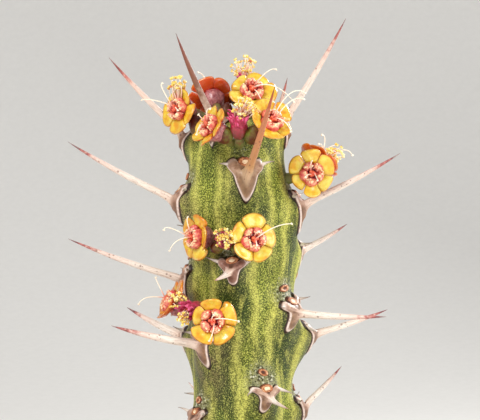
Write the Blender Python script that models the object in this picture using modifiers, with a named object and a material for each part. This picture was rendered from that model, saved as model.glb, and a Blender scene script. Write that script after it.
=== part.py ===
"""A potted crown of thorns plant: one green, tubercled spurge stem with long single spines on horny
shields, and yellow flower heads in cymes of three, standing in a plain clay pot.

Metres, +Z up. The origin is the centre of the pot's underside. Azimuths are degrees round the stem,
0 at the front (-Y) and growing towards +X. Depths are millimetres below the growing tip.
"""

import math
import random

import bmesh
import bpy
from mathutils import Quaternion, Vector, noise

MM = 0.001

# Pot and soil
POT_HEIGHT = 55 * MM
POT_RIM_RADIUS = 32 * MM
POT_RIM_HEIGHT = 12 * MM
POT_BASE_RADIUS = 22.5 * MM
POT_WALL = 3.0 * MM
POT_FLOOR = 4 * MM
DRAIN_RADIUS = 4.5 * MM
POT_SIDES = 28
FIT_GAP = 0.3 * MM
SOIL_TOP = POT_HEIGHT - 6 * MM
SOIL_SIDES = 28
SOIL_RELIEF = 0.5 * MM
PEBBLES = 16

# Stem
APEX = SOIL_TOP + 78 * MM
CORE_RADIUS = 8.1 * MM
LOWER_SHRINK = 0.6 * MM
UPPER_SHRINK = 1.0 * MM
UPPER_LEAN = -0.9 * MM
DOME_DEPTH = 6.5 * MM
TIP_RISE = 0.8 * MM
TUBERCLE_HEIGHT = 2.3 * MM
TUBERCLE_LIMIT = 1.6
TUBERCLE_WIDTH = 3.3 * MM
TUBERCLE_RISE_ABOVE = 2.6 * MM
TUBERCLE_RUN_BELOW = 5.2 * MM
NECK_RADIUS = 7.2 * MM
NECK_DEPTH = 74 * MM
ROOT_DEPTH = 20 * MM
ROOT_RADIUS = 5 * MM
STEM_SIDES = 22
STEM_RING_STEP = 3.3 * MM

# Shields and spines
SHIELD_PROUD = 0.35 * MM
SHIELD_SUNK = 1.0 * MM
SPINE_RADIUS = 0.68 * MM
PRICKLE_LENGTH = 1.7 * MM
PRICKLE_RADIUS = 0.3 * MM
FUSE_SOLVER = "EXACT"
SHIELD_SPACING = 8.2
SHIELD_OUTLINE = (
    (0.0, 0.62), (0.6, 0.95), (1.05, 0.65), (0.5, -0.2), (0.0, -1.45), (-0.5, -0.2), (-1.05, 0.65), (-0.6, 0.95),
)

# Shields on the front and sides: azimuth, depth, heading and rise of the spine, spine length, shield half width,
# and how far the tubercle under the shield swells, as a share of its usual height
FRONT_SHIELDS = (
    (4, 9.9, 20, 46, 18.2, 3.1, 1.0),
    (-12, 24.4, -21, -14, 6.0, 2.3, 1.0),
    (24, 44.0, 35, -15, 6.0, 2.4, 1.0),
    (56, 31.1, 62, -2, 16.0, 2.5, 1.0),
    (100, 35.1, 105, 15, 14.0, 2.4, 1.6),
    (92, 46.9, 128, 35, 11.0, 2.3, 1.0),
    (80, 14.4, 80, 26, 18.4, 2.6, 0.75),
    (118, 22.0, 130, 21, 12.4, 2.4, 1.0),
    (-95, 3.5, -98, 44, 18.6, 2.2, 0.8),
    (-35, 1.8, -54, 60, 16.2, 2.0, 0.8),
    (80, 1.8, 66, 55, 20.4, 2.0, 0.9),
    (135, 3.0, 145, 62, 11.0, 1.9, 0.6),
    (-80, 13.6, -85, 27, 20.0, 2.6, 1.0),
    (-85, 26.2, -88, 18, 20.2, 2.5, 0.5),
    (-41, 36.0, -58, 11, 16.4, 2.5, 1.0),
    (-118, 35.8, -125, 19, 13.4, 2.3, 1.2),
    (-58, 48.5, -75, -8, 6.5, 2.3, 0.6),
    (-135, 46.0, -112, 42, 4.2, 2.0, 0.6),
    (-128, 19.5, -160, 12, 8.0, 2.3, 0.5),
)

# Flower heads
GLAND_INNER = 1.85 * MM
GLAND_OUTER = 3.75 * MM
GLAND_CREST = 0.5 * MM
GLAND_UNDER = 0.35 * MM
GLAND_POINTS = 4
CUP_DEPTH = 2.9 * MM
HEART_LOBES = 5
HEART_NECK = 1.68 * MM
HEART_WAIST = 2.1 * MM
MALE_NECK = 1.35 * MM
MALE_WAIST = 1.6 * MM
STYLE_RADIUS = 0.26 * MM
ANTHER_SIZE = 0.5 * MM
ANTHERS = 4
BACK_CYMES = 3

# Seen flower heads: kind, x, y and height above the tip in millimetres, heading, rise, roll
OPEN, MALE = "open", "male"
FRONT_BLOOMS = (
    (OPEN, -9.8, -4.2, 0.9, -48, 6, 0),
    (OPEN, -4.8, -11.0, -2.2, -56, 28, 20),
    (OPEN, -4.9, 1.5, 3.2, -160, 35, 0),
    (OPEN, 1.6, -3.6, 3.8, 5, 28, 10),
    (MALE, 0.5, 2.4, 5.4, 20, 60, 0),
    (OPEN, 4.4, -11.4, -1.4, 30, 28, 50),
    (MALE, -0.5, -11.4, -1.5, 0, 50, 0),
    (OPEN, 10.9, -6.0, -9.3, 8, 0, 0),
    (OPEN, 12.4, 0.6, -7.2, 125, 38, 0),
    (OPEN, -7.0, -8.6, -19.2, -57, 0, 15),
    (MALE, -2.8, -12.3, -19.5, -14, 12, 0),
    (OPEN, 1.7, -12.6, -19.5, 16, 2, 30),
    (OPEN, -4.4, -12.3, -32.0, -9, -3, 36),
    (MALE, -8.0, -9.8, -30.6, -40, -6, 0),
    (OPEN, -10.9, -5.6, -29.4, -80, 26, 0),
)


def wrapped(degrees):
    """The same turn, from -180 to 180 degrees."""
    return (degrees + 180) % 360 - 180


def smooth(share):
    """0 below 0, 1 above 1, and an even S between."""
    share = min(max(share, 0.0), 1.0)
    return share * share * (3 - 2 * share)


def heading(azimuth, rise=0.0):
    """The unit vector that points away from the stem's axis at that azimuth, raised by rise degrees."""
    a, e = math.radians(azimuth), math.radians(rise)
    return Vector((math.sin(a) * math.cos(e), -math.cos(a) * math.cos(e), math.sin(e)))


# ---------------------------------------------------------------- where the shields sit


def spacing(a, b):
    """Distance over the bark, in millimetres, between two (azimuth, depth) places."""
    round_stem = math.radians(wrapped(a[0] - b[0])) * CORE_RADIUS / MM
    return math.hypot(round_stem, a[1] - b[1])


def free_places():
    """Places that may take a shield besides the listed ones: the back, and all round lower down."""
    back = [(azimuth, depth) for azimuth in range(130, 240, 10) for depth in range(5, 50, 2)]
    lower = [(azimuth, depth) for azimuth in range(0, 360, 10) for depth in range(55, 71, 2)]
    return back + lower


def filled_shields():
    """More shields, each as far as it can be from those already there, until the bark is evenly set."""
    rng = random.Random(7)
    taken = [(row[0], row[1]) for row in FRONT_SHIELDS]
    rows = []
    while True:
        best = max(free_places(), key=lambda place: min(spacing(place, other) for other in taken))
        if min(spacing(best, other) for other in taken) < SHIELD_SPACING:
            return rows
        taken.append(best)
        azimuth, depth = wrapped(best[0]), float(best[1])
        rise = 30 - 0.55 * depth + rng.uniform(-8, 8)
        length = 17.0 - 0.12 * depth + rng.uniform(-3, 3)
        rows.append((azimuth, depth, azimuth + rng.uniform(-15, 15), rise, length, rng.uniform(2.2, 2.6), 1.0))


SHIELDS = list(FRONT_SHIELDS) + filled_shields()


# ---------------------------------------------------------------- the stem's surface


def core_radius(depth):
    """Radius of the stem between its tubercles, at a depth below the tip."""
    radius = CORE_RADIUS - UPPER_SHRINK * (1 - smooth((depth - 2 * MM) / (12 * MM)))
    radius -= LOWER_SHRINK * smooth((depth - 20 * MM) / (28 * MM))
    radius += (NECK_RADIUS - radius) * smooth((depth - 62 * MM) / (12 * MM))
    if depth < DOME_DEPTH:
        share = (DOME_DEPTH - depth) / (DOME_DEPTH + TIP_RISE)
        radius *= math.sqrt(max(0.0, 1 - share * share))
    return radius


def stem_radius(azimuth, depth):
    """Radius of the stem with its tubercles, each steep above its shield and running down below it."""
    swell = 0.0
    for shield in SHIELDS:
        across = math.radians(wrapped(azimuth - shield[0])) * CORE_RADIUS / TUBERCLE_WIDTH
        drop = depth - shield[1] * MM
        run = TUBERCLE_RUN_BELOW * (0.5 + 0.5 * smooth(shield[1] / 12))
        along = drop / (run if drop > 0 else TUBERCLE_RISE_ABOVE)
        swell += shield[6] * math.exp(-across * across - along * along)
    core = core_radius(depth)
    lean = UPPER_LEAN * math.sin(math.radians(azimuth)) * (1 - smooth((depth - 4 * MM) / (16 * MM)))
    fade = min(1.0, 1.25 * core / CORE_RADIUS) * (1 - smooth((depth - 66 * MM) / (8 * MM)))
    return core + lean * core / CORE_RADIUS + TUBERCLE_HEIGHT * min(swell, TUBERCLE_LIMIT) * fade


def stem_point(azimuth, depth, proud=0.0):
    """A point over the stem's surface, proud of it by that much along the radius."""
    point = heading(azimuth) * (stem_radius(azimuth, depth) + proud)
    point.z = APEX - depth
    return point


def inside_stem(point):
    azimuth = math.degrees(math.atan2(point.x, -point.y))
    depth = APEX - point.z
    return depth > -TIP_RISE and math.hypot(point.x, point.y) < stem_radius(azimuth, depth)


# ---------------------------------------------------------------- mesh helpers


def material(name, color, roughness):
    finish = bpy.data.materials.new(name)
    finish.use_nodes = True
    shader = finish.node_tree.nodes["Principled BSDF"]
    shader.inputs["Base Color"].default_value = (*color, 1.0)
    shader.inputs["Roughness"].default_value = roughness
    finish.diffuse_color = (*color, 1.0)
    return finish


def placed(name, mesh, collection):
    thing = bpy.data.objects.new(name, mesh)
    collection.objects.link(thing)
    return thing


def ring(radius, height, sides, turn=0.0):
    """Points round +Z. Radius and height are numbers, or functions of the angle in radians."""
    points = []
    for step in range(sides):
        angle = math.tau * step / sides + turn
        r = radius(angle) if callable(radius) else radius
        z = height(angle) if callable(height) else height
        points.append(Vector((r * math.sin(angle), -r * math.cos(angle), z)))
    return points


def loft(name, rings, poles=None):
    """A closed mesh through rings of points. With poles it ends in two points, and without it closes on itself."""
    mesh = bmesh.new()
    loops = [[mesh.verts.new(point) for point in points] for points in rings]
    count = len(loops[0])
    pairs = list(zip(loops, loops[1:]))
    if poles is None:
        pairs.append((loops[-1], loops[0]))
    for near, far in pairs:
        for i in range(count):
            j = (i + 1) % count
            mesh.faces.new((near[i], near[j], far[j], far[i]))
    if poles is not None:
        for pole, loop in zip(poles, (loops[0], loops[-1])):
            end = mesh.verts.new(pole)
            for i in range(count):
                mesh.faces.new((end, loop[i], loop[(i + 1) % count]))
    bmesh.ops.recalc_face_normals(mesh, faces=mesh.faces)
    bmesh.ops.triangulate(mesh, faces=mesh.faces)
    data = bpy.data.meshes.new(name)
    mesh.to_mesh(data)
    mesh.free()
    return data


def as_mesh(thing, weld=0.0):
    """The evaluated object's mesh, with points nearer than weld made one."""
    bpy.context.view_layer.update()
    data = bpy.data.meshes.new_from_object(thing.evaluated_get(bpy.context.evaluated_depsgraph_get()))
    if weld:
        mesh = bmesh.new()
        mesh.from_mesh(data)
        bmesh.ops.remove_doubles(mesh, verts=mesh.verts, dist=weld)
        bmesh.ops.recalc_face_normals(mesh, faces=mesh.faces)
        mesh.to_mesh(data)
        mesh.free()
    return data


def rod(name, points, radii, roundness=0):
    """A bent, tapered rod through points: a curve with a bevel and a radius at each point, made a mesh."""
    curve = bpy.data.curves.new(name, "CURVE")
    curve.dimensions = "3D"
    curve.bevel_depth = 1.0
    curve.bevel_resolution = roundness
    curve.use_fill_caps = True
    spline = curve.splines.new("POLY")
    spline.points.add(len(points) - 1)
    for knot, point, radius in zip(spline.points, points, radii):
        knot.co = (*point, 1.0)
        knot.radius = radius
    drawn = placed(name, curve, bpy.context.scene.collection)
    data = as_mesh(drawn, weld=0.005 * MM)
    bpy.data.objects.remove(drawn)
    return placed(name, data, bpy.context.scene.collection)


def cone(name, root, tip, radius):
    """A three-sided point from root to tip."""
    mesh = bmesh.new()
    bmesh.ops.create_cone(
        mesh, cap_ends=True, cap_tris=True, segments=3, radius1=radius, radius2=0, depth=(tip - root).length
    )
    turn = (tip - root).to_track_quat("Z", "Y")
    for vertex in mesh.verts:
        vertex.co = turn @ vertex.co + (root + tip) / 2
    bmesh.ops.remove_doubles(mesh, verts=mesh.verts, dist=0.005 * MM)
    data = bpy.data.meshes.new(name)
    mesh.to_mesh(data)
    mesh.free()
    return placed(name, data, bpy.context.scene.collection)


def keep_largest(data):
    """Drops the specks that a union can leave beside the body it makes."""
    mesh = bmesh.new()
    mesh.from_mesh(data)
    unseen, bodies = set(mesh.verts), []
    while unseen:
        body, edge = set(), {unseen.pop()}
        while edge:
            body |= edge
            edge = {e.other_vert(v) for v in edge for e in v.link_edges} - body
        unseen -= body
        bodies.append(body)
    bodies.sort(key=len)
    specks = [vertex for body in bodies[:-1] for vertex in body]
    bmesh.ops.delete(mesh, geom=specks, context="VERTS")
    mesh.to_mesh(data)
    mesh.free()


def fuse(base, pieces):
    """Joins the pieces to the base with one Boolean union, and removes them."""
    group = bpy.data.collections.new("fused")
    for piece in pieces:
        group.objects.link(piece)
    join = base.modifiers.new("join", "BOOLEAN")
    join.operation = "UNION"
    join.operand_type = "COLLECTION"
    join.collection = group
    join.solver = FUSE_SOLVER
    joined = as_mesh(base)
    keep_largest(joined)
    base.modifiers.clear()
    base.data = joined
    for piece in pieces:
        bpy.data.objects.remove(piece)
    bpy.data.collections.remove(group)


# ---------------------------------------------------------------- stem with shields, spines and stalks


def stem_body():
    depths = [-0.55 * MM, 0.1 * MM, 1.1 * MM, 2.4 * MM, 4.0 * MM, 5.8 * MM]
    while depths[-1] < NECK_DEPTH:
        depths.append(depths[-1] + STEM_RING_STEP)
    turns = [360 * step / STEM_SIDES for step in range(STEM_SIDES)]
    rings = [[stem_point(turn, depth) for turn in turns] for depth in depths]
    root_foot = SOIL_TOP - ROOT_DEPTH
    rings.append(ring(NECK_RADIUS, SOIL_TOP - 1 * MM, STEM_SIDES))
    rings.append(ring(ROOT_RADIUS, root_foot, STEM_SIDES))
    return loft("stem", rings, poles=((0, 0, APEX + TIP_RISE), (0, 0, root_foot)))


def shield_solid(shield):
    """A horny plate that follows the tubercle, with two lobes above and a tongue that runs down it."""
    azimuth, depth, half_width = shield[0], shield[1] * MM, shield[5] * MM
    rings = []
    for proud in (-SHIELD_SUNK, SHIELD_PROUD):
        points = []
        for across, up in SHIELD_OUTLINE:
            turn = math.degrees(across * half_width / (core_radius(depth) + TUBERCLE_HEIGHT))
            points.append(stem_point(azimuth + turn, depth - up * half_width, proud))
        rings.append(points)
    middle = depth + 0.2 * half_width
    poles = (stem_point(azimuth, middle, -SHIELD_SUNK), stem_point(azimuth, middle, 1.6 * SHIELD_PROUD))
    return placed("shield", loft("shield", rings, poles), bpy.context.scene.collection)


def spine_path(shield, steps):
    """Points from under the shield to the spine's tip, curving slightly upwards, with the share of each."""
    azimuth, depth, turn, rise, length = shield[:5]
    root = stem_point(azimuth, depth * MM, -0.5 * MM)
    points, shares = [root], [0.0]
    for step in range(1, steps + 1):
        share = step / steps
        bend = 9 * (share - 0.5)
        points.append(points[-1] + heading(turn, rise + bend) * length * MM / steps)
        shares.append(share)
    return points, shares


def spine_solids(shield):
    points, shares = spine_path(shield, 2)
    radii = [SPINE_RADIUS * min(1.0, shield[4] / 14 + 0.45) * (1 - 0.97 * share ** 2.2) for share in shares]
    radii[0] *= 1.5
    solids = [rod("spine", points, radii, roundness=1)]
    half_width = shield[5] * MM
    for side in (-1, 1):
        turn = side * math.degrees(0.92 * half_width / (CORE_RADIUS + TUBERCLE_HEIGHT))
        root = stem_point(shield[0] + turn, shield[1] * MM - 0.6 * half_width, -0.4 * MM)
        tip = root + heading(shield[0] + 2.6 * turn, 25) * (PRICKLE_LENGTH + 0.4 * MM)
        solids.append(cone("prickle", root, tip, PRICKLE_RADIUS))
    return solids


def cup_foot(bloom):
    """The lowest point of a flower head's cup, and the way the head faces."""
    facing = heading(bloom[4], bloom[5])
    return bloom_centre(bloom) - facing * CUP_DEPTH, facing


def stalk_solid(bloom):
    """The short stalk from the bark to just short of a flower head's cup, or nothing where the cup sits on it."""
    foot, facing = cup_foot(bloom)
    end = foot - facing * FIT_GAP
    aim = Vector((0, 0, min(foot.z - 2.5 * MM, APEX - 6 * MM)))
    march = 200
    for step in range(march):
        point = end.lerp(aim, step / march)
        if inside_stem(point):
            break
    if (point - end).length < 0.25 * MM:
        return None
    root = point + (aim - point).normalized() * 1.2 * MM
    elbow = end - facing * 0.7 * MM
    return rod("stalk", [root, elbow, end], [0.85 * MM, 0.7 * MM, 0.6 * MM])


# ---------------------------------------------------------------- flower heads


def bloom_centre(bloom):
    return Vector((bloom[1] * MM, bloom[2] * MM, APEX + bloom[3] * MM))


def back_blooms():
    """Cymes of three over shields of the back: a male head between two open ones, clear of other shields."""
    rows, cymes = [], []
    backs = sorted((row for row in SHIELDS if abs(row[0]) >= 155 and row[1] > 18), key=lambda row: row[1])
    for shield in backs:
        azimuth, depth = shield[0], shield[1] - 4.4
        heads = [(azimuth + turn, depth) for turn in (-29, 0, 29)]
        others = [row for row in SHIELDS if row is not shield]
        crowded = any(spacing(head, other) < 4.8 for head in heads for other in others)
        if crowded or any(spacing((azimuth, depth), cyme) < 11 for cyme in cymes) or len(cymes) == BACK_CYMES:
            continue
        cymes.append((azimuth, depth))
        for kind, turn, out in ((OPEN, -29, 11.6), (MALE, 0, 12.3), (OPEN, 29, 11.6)):
            place = heading(azimuth + turn) * out
            rows.append((kind, place.x, place.y, -depth, azimuth + 1.3 * turn, 4, 3 * turn))
    return rows


def glands_mesh(count, seed):
    """The ring of plump nectar glands, each as wide as its share of the circle, notched from its neighbours."""
    rng = random.Random(seed)
    sides = count * GLAND_POINTS
    reach = [rng.uniform(0.93, 1.04) for _ in range(count)]

    def within(angle):
        """Which gland an angle belongs to, and 0 at its middle to 1 at its notch."""
        share = angle / math.tau * count
        number = math.floor(share + 0.5)
        return number % count, abs(share - number) * 2

    def edge(part):
        def radius(angle):
            number, off = within(angle)
            full = GLAND_OUTER * reach[number] - GLAND_INNER
            return GLAND_INNER + part * full * math.cos(off * math.radians(79)) ** 0.45
        return radius

    def crest(angle):
        return GLAND_CREST * (0.25 + 0.75 * math.cos(within(angle)[1] * math.radians(75)))

    rings = [
        ring(GLAND_INNER, -GLAND_UNDER, sides),
        ring(edge(0.35), crest, sides),
        ring(edge(1.0), 0.05 * MM, sides),
        ring(edge(0.7), -GLAND_UNDER, sides),
    ]
    return loft("glands", rings)


def cup_mesh(lobe_height, neck, waist):
    """The cup of a flower head under its ring of blunt lobes."""
    sides = 2 * HEART_LOBES

    def lobed(low, high):
        def height(angle):
            return (low + (high - low) * (0.5 + 0.5 * math.cos(HEART_LOBES * angle))) * MM
        return height

    rings = [
        ring(0.6 * MM, -CUP_DEPTH, sides),
        ring(waist, -1.35 * MM, sides),
        ring(waist, -0.62 * MM, sides),
        ring(neck, -0.5 * MM, sides),
        ring(neck, lobed(0.25, 0.55), sides),
        ring(0.72 * neck, lobed(0.35, lobe_height), sides),
    ]
    return loft("heart", rings, poles=((0, 0, -CUP_DEPTH), (0, 0, 0.4 * MM)))


def open_heart(name, seed):
    """The cup of an open head, with three styles that rise, part and bend back at their ends."""
    rng = random.Random(seed)
    heart = placed(name, cup_mesh(1.1, HEART_NECK, HEART_WAIST), bpy.context.scene.collection)
    styles = []
    first = rng.uniform(0, 120)
    for number in range(3):
        away = heading(first + 120 * number + rng.uniform(-20, 20))
        reach = rng.uniform(2.6, 3.9) * MM
        points = [
            away * 0.25 * MM,
            away * 0.45 * reach + Vector((0, 0, 2.3 * MM)),
            away * 1.1 * reach + Vector((0, 0, 2.5 * MM)),
        ]
        styles.append(rod("style", points, [STYLE_RADIUS * size for size in (1.3, 1.0, 1.15)]))
    fuse(heart, styles)
    return heart


def male_heart(name, seed):
    """The narrow cup of a male head, with a bunch of anthers standing out of it."""
    rng = random.Random(seed)
    heart = placed(name, cup_mesh(1.0, MALE_NECK, MALE_WAIST), bpy.context.scene.collection)
    anthers = []
    for number in range(ANTHERS):
        angle = number * 137.5
        out = 1.3 * MM * math.sqrt((number + 0.5) / ANTHERS)
        place = heading(angle) * out + Vector((0, 0, rng.uniform(1.0, 1.5) * MM))
        points = [heading(angle) * out * 0.7, place, place + Vector((0, 0, 0.8 * MM))]
        anthers.append(rod("anther", points, [0.3 * MM, ANTHER_SIZE, 0.7 * ANTHER_SIZE]))
    fuse(heart, anthers)
    return heart


def upright(facing, roll):
    """The turn that takes +Z to the way a head faces, after rolling it."""
    return facing.to_track_quat("Z", "Y") @ Quaternion((0, 0, 1), math.radians(roll))


def make_blooms(blooms, collection, petal_yellow, heart_red, male_pink):
    """Places every flower head. Heads of one kind share their meshes."""
    glands = [glands_mesh(5, 1), glands_mesh(5, 2), glands_mesh(6, 3)]
    patterns = {
        OPEN: [open_heart("open_pattern", seed) for seed in (11, 12, 13)],
        MALE: [male_heart("male_pattern", seed) for seed in (21, 22)],
    }
    for yellow in glands:
        yellow.materials.append(petal_yellow)
    for kind, finish in ((OPEN, heart_red), (MALE, male_pink)):
        for pattern in patterns[kind]:
            pattern.data.materials.clear()
            pattern.data.materials.append(finish)
    for number, bloom in enumerate(blooms, 1):
        turn = upright(heading(bloom[4], bloom[5]), bloom[6])
        choices = patterns[bloom[0]]
        parts = [("heart", choices[number % len(choices)].data)]
        if bloom[0] == OPEN:
            parts.append(("glands", glands[number % len(glands)]))
        for part, data in parts:
            piece = placed(f"bloom_{number:02d}_{part}", data, collection)
            piece.location = bloom_centre(bloom)
            piece.rotation_mode = "QUATERNION"
            piece.rotation_quaternion = turn
    for pattern in patterns[OPEN] + patterns[MALE]:
        bpy.data.objects.remove(pattern)


# ---------------------------------------------------------------- pot and soil


def turned(name, profile, sides, collection):
    """A solid of revolution about Z from a closed profile of (radius, height), outer side first, top to bottom."""
    mesh = bmesh.new()
    points = [mesh.verts.new((radius, 0, height)) for radius, height in profile]
    closed = profile[0][0] > 0 or profile[-1][0] > 0
    for a, b in zip(points, points[1:] + (points[:1] if closed else [])):
        mesh.edges.new((a, b))
    data = bpy.data.meshes.new(name)
    mesh.to_mesh(data)
    mesh.free()
    thing = placed(name, data, collection)
    screw = thing.modifiers.new("turn", "SCREW")
    screw.steps = screw.render_steps = sides
    screw.use_merge_vertices = True
    screw.merge_threshold = 0.00001
    return thing


def wall_radius(height):
    """Inner radius of the pot at a height."""
    outer = POT_BASE_RADIUS + (POT_RIM_RADIUS - 2.2 * MM - POT_BASE_RADIUS) * height / POT_HEIGHT
    return outer - POT_WALL


def make_pot(collection):
    shoulder = POT_HEIGHT - POT_RIM_HEIGHT
    lip = POT_RIM_RADIUS
    profile = [
        (lip - 1.0 * MM, POT_HEIGHT),
        (lip, POT_HEIGHT - 1.0 * MM),
        (lip - 0.7 * MM, shoulder + 0.8 * MM),
        (lip - 1.3 * MM, shoulder),
        (wall_radius(shoulder) + POT_WALL, shoulder),
        (POT_BASE_RADIUS + 0.2 * MM, 1.0 * MM),
        (POT_BASE_RADIUS - 0.8 * MM, 0),
        (DRAIN_RADIUS, 0),
        (DRAIN_RADIUS, POT_FLOOR),
        (wall_radius(POT_FLOOR), POT_FLOOR),
        (wall_radius(POT_HEIGHT), POT_HEIGHT - 0.8 * MM),
        (wall_radius(POT_HEIGHT) + 0.8 * MM, POT_HEIGHT),
    ]
    return turned("pot", profile, POT_SIDES, collection)


def make_soil(collection):
    """Gritty soil to just under the rim, with a plain hole for the stem's foot and stones half sunk in it."""
    hole = NECK_RADIUS + FIT_GAP
    foot = SOIL_TOP - ROOT_DEPTH - FIT_GAP
    outer = wall_radius(SOIL_TOP) - FIT_GAP
    profile = [(outer, SOIL_TOP - 0.8 * MM)]
    profile.append((wall_radius(POT_FLOOR + FIT_GAP) - FIT_GAP, POT_FLOOR + FIT_GAP))
    profile += [(0, POT_FLOOR + FIT_GAP), (0, foot), (ROOT_RADIUS + FIT_GAP, foot), (hole, SOIL_TOP - 1 * MM)]
    profile.append((hole, SOIL_TOP))
    steps = 4
    profile += [(hole + (outer - hole) * step / steps, SOIL_TOP) for step in range(1, steps)]
    soil = turned("soil", profile, SOIL_SIDES, collection)
    data = as_mesh(soil)
    soil.modifiers.clear()
    soil.data = data
    for vertex in data.vertices:
        spot = vertex.co
        if spot.z > SOIL_TOP - 0.5 * MM and math.hypot(spot.x, spot.y) > hole + 0.5 * MM:
            spot.z += SOIL_RELIEF * noise.noise(spot * 160)
    fuse(soil, [pebble(number, hole, outer) for number in range(PEBBLES)])
    return soil


def pebble(number, hole, outer):
    """One stone of the top dressing, on a sunflower spiral over the soil."""
    rng = random.Random(100 + number)
    share = (number + 0.5) / PEBBLES
    size = rng.uniform(1.1, 2.0) * MM
    out = hole + 2.2 * MM + (outer - hole - 4.6 * MM) * math.sqrt(share)
    place = heading(137.5 * number) * out
    place.z = SOIL_TOP + 0.15 * size
    mesh = bmesh.new()
    bmesh.ops.create_icosphere(mesh, subdivisions=1, radius=size)
    turn = Quaternion(heading(rng.uniform(0, 360), rng.uniform(0, 90)), rng.uniform(0, 3))
    for vertex in mesh.verts:
        point = vertex.co * rng.uniform(0.85, 1.1)
        point.z *= 0.7
        vertex.co = turn @ point + place
    data = bpy.data.meshes.new("pebble")
    mesh.to_mesh(data)
    mesh.free()
    return placed("pebble", data, bpy.context.scene.collection)


# ---------------------------------------------------------------- the whole plant


def main():
    for thing in list(bpy.data.objects):
        bpy.data.objects.remove(thing)
    plant = bpy.data.collections.new("potted_spurge")
    bpy.context.scene.collection.children.link(plant)

    clay = material("clay", (0.52, 0.25, 0.14), 0.85)
    earth = material("gritty_soil", (0.16, 0.11, 0.075), 0.95)
    green = material("stem_green", (0.24, 0.30, 0.08), 0.55)
    petal_yellow = material("gland_yellow", (0.85, 0.55, 0.04), 0.35)
    heart_red = material("heart_red", (0.72, 0.22, 0.16), 0.45)
    male_pink = material("male_pink", (0.55, 0.12, 0.16), 0.5)

    make_pot(plant).data.materials.append(clay)
    make_soil(plant).data.materials.append(earth)

    blooms = list(FRONT_BLOOMS) + back_blooms()
    stem = placed("stem", stem_body(), plant)
    grown = [shield_solid(shield) for shield in SHIELDS]
    for shield in SHIELDS:
        grown += spine_solids(shield)
    grown += [stalk for stalk in map(stalk_solid, blooms) if stalk]
    fuse(stem, grown)
    stem.data.materials.clear()
    stem.data.materials.append(green)

    make_blooms(blooms, plant, petal_yellow, heart_red, male_pink)
    for thing in plant.objects:
        if thing.name in ("pot", "soil"):
            continue
        thing.data.shade_smooth()
        thing.data.set_sharp_from_angle(angle=math.radians(50))


main()
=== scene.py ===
"""A potted spurge: a green tubercled stem with spined, horny shields and cymes of yellow flower heads.

Metres, +Z up, with the origin at the centre of the pot's underside. Azimuths are degrees round the stem,
0 at the front (-Y) and growing towards +X. Depths are millimetres below the growing tip.
"""
import math
import random
import bmesh
import bpy
import numpy as np
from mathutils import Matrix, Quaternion, Vector, noise


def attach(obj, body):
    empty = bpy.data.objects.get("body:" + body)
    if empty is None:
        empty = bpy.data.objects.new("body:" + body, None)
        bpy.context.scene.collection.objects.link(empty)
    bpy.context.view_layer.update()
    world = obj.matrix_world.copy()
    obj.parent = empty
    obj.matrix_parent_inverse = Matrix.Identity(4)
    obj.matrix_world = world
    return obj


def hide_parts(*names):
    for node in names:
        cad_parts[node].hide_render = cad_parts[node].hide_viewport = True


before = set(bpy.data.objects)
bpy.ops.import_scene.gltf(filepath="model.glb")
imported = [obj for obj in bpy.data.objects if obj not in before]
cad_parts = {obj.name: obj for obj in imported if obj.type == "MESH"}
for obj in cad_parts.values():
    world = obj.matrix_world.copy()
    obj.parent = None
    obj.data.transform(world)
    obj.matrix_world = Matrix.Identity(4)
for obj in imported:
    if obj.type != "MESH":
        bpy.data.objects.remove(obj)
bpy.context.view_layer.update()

MM = 0.001

# Pot and soil
POT_HEIGHT = 55 * MM
POT_RIM_RADIUS = 32 * MM
POT_RIM_HEIGHT = 12 * MM
POT_BASE_RADIUS = 22.5 * MM
POT_WALL = 3.0 * MM
RIM_STEP = 2.2 * MM
POT_FLOOR = 4 * MM
DRAIN_RADIUS = 4.5 * MM
FIT_GAP = 0.3 * MM
SOIL_TOP = POT_HEIGHT - 6 * MM
PEBBLES = 16

# Stem
APEX = SOIL_TOP + 78 * MM
CORE_RADIUS = 8.1 * MM
LOWER_SHRINK = 0.6 * MM
UPPER_SHRINK = 1.0 * MM
UPPER_LEAN = -0.9 * MM
DOME_DEPTH = 6.5 * MM
TIP_RISE = 0.8 * MM
TUBERCLE_HEIGHT = 2.3 * MM
TUBERCLE_LIMIT = 1.6
TUBERCLE_WIDTH = 3.3 * MM
TUBERCLE_RISE_ABOVE = 2.6 * MM
TUBERCLE_RUN_BELOW = 5.2 * MM
NECK_RADIUS = 7.2 * MM
NECK_DEPTH = 74 * MM
ROOT_DEPTH = 20 * MM
ROOT_RADIUS = 5 * MM
SPINE_RADIUS = 0.68 * MM
SOIL_HOLE = NECK_RADIUS + FIT_GAP

# In millimetres: least spacing of the shields that are added, a shield's usual half width, and the bark in
# one radian
SHIELD_SPACING = 8.2
USUAL_SHIELD = 2.4
BARK_PER_RADIAN = 9.4

# Cymes of the back: their count, millimetres above their shield, degrees between heads, and the millimetres
# of bark that a head needs from other shields and a cyme from other cymes
BACK_CYMES = 3
CYME_RISE = 4.4
CYME_TURN = 29
HEAD_ROOM = 4.8
CYME_ROOM = 11

# A flower head's depth below its mouth in millimetres, and the turn between neighbours on a sunflower
# spiral
CUP_DEPTH = 2.9
SPIRAL_TURN = 137.5

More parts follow.
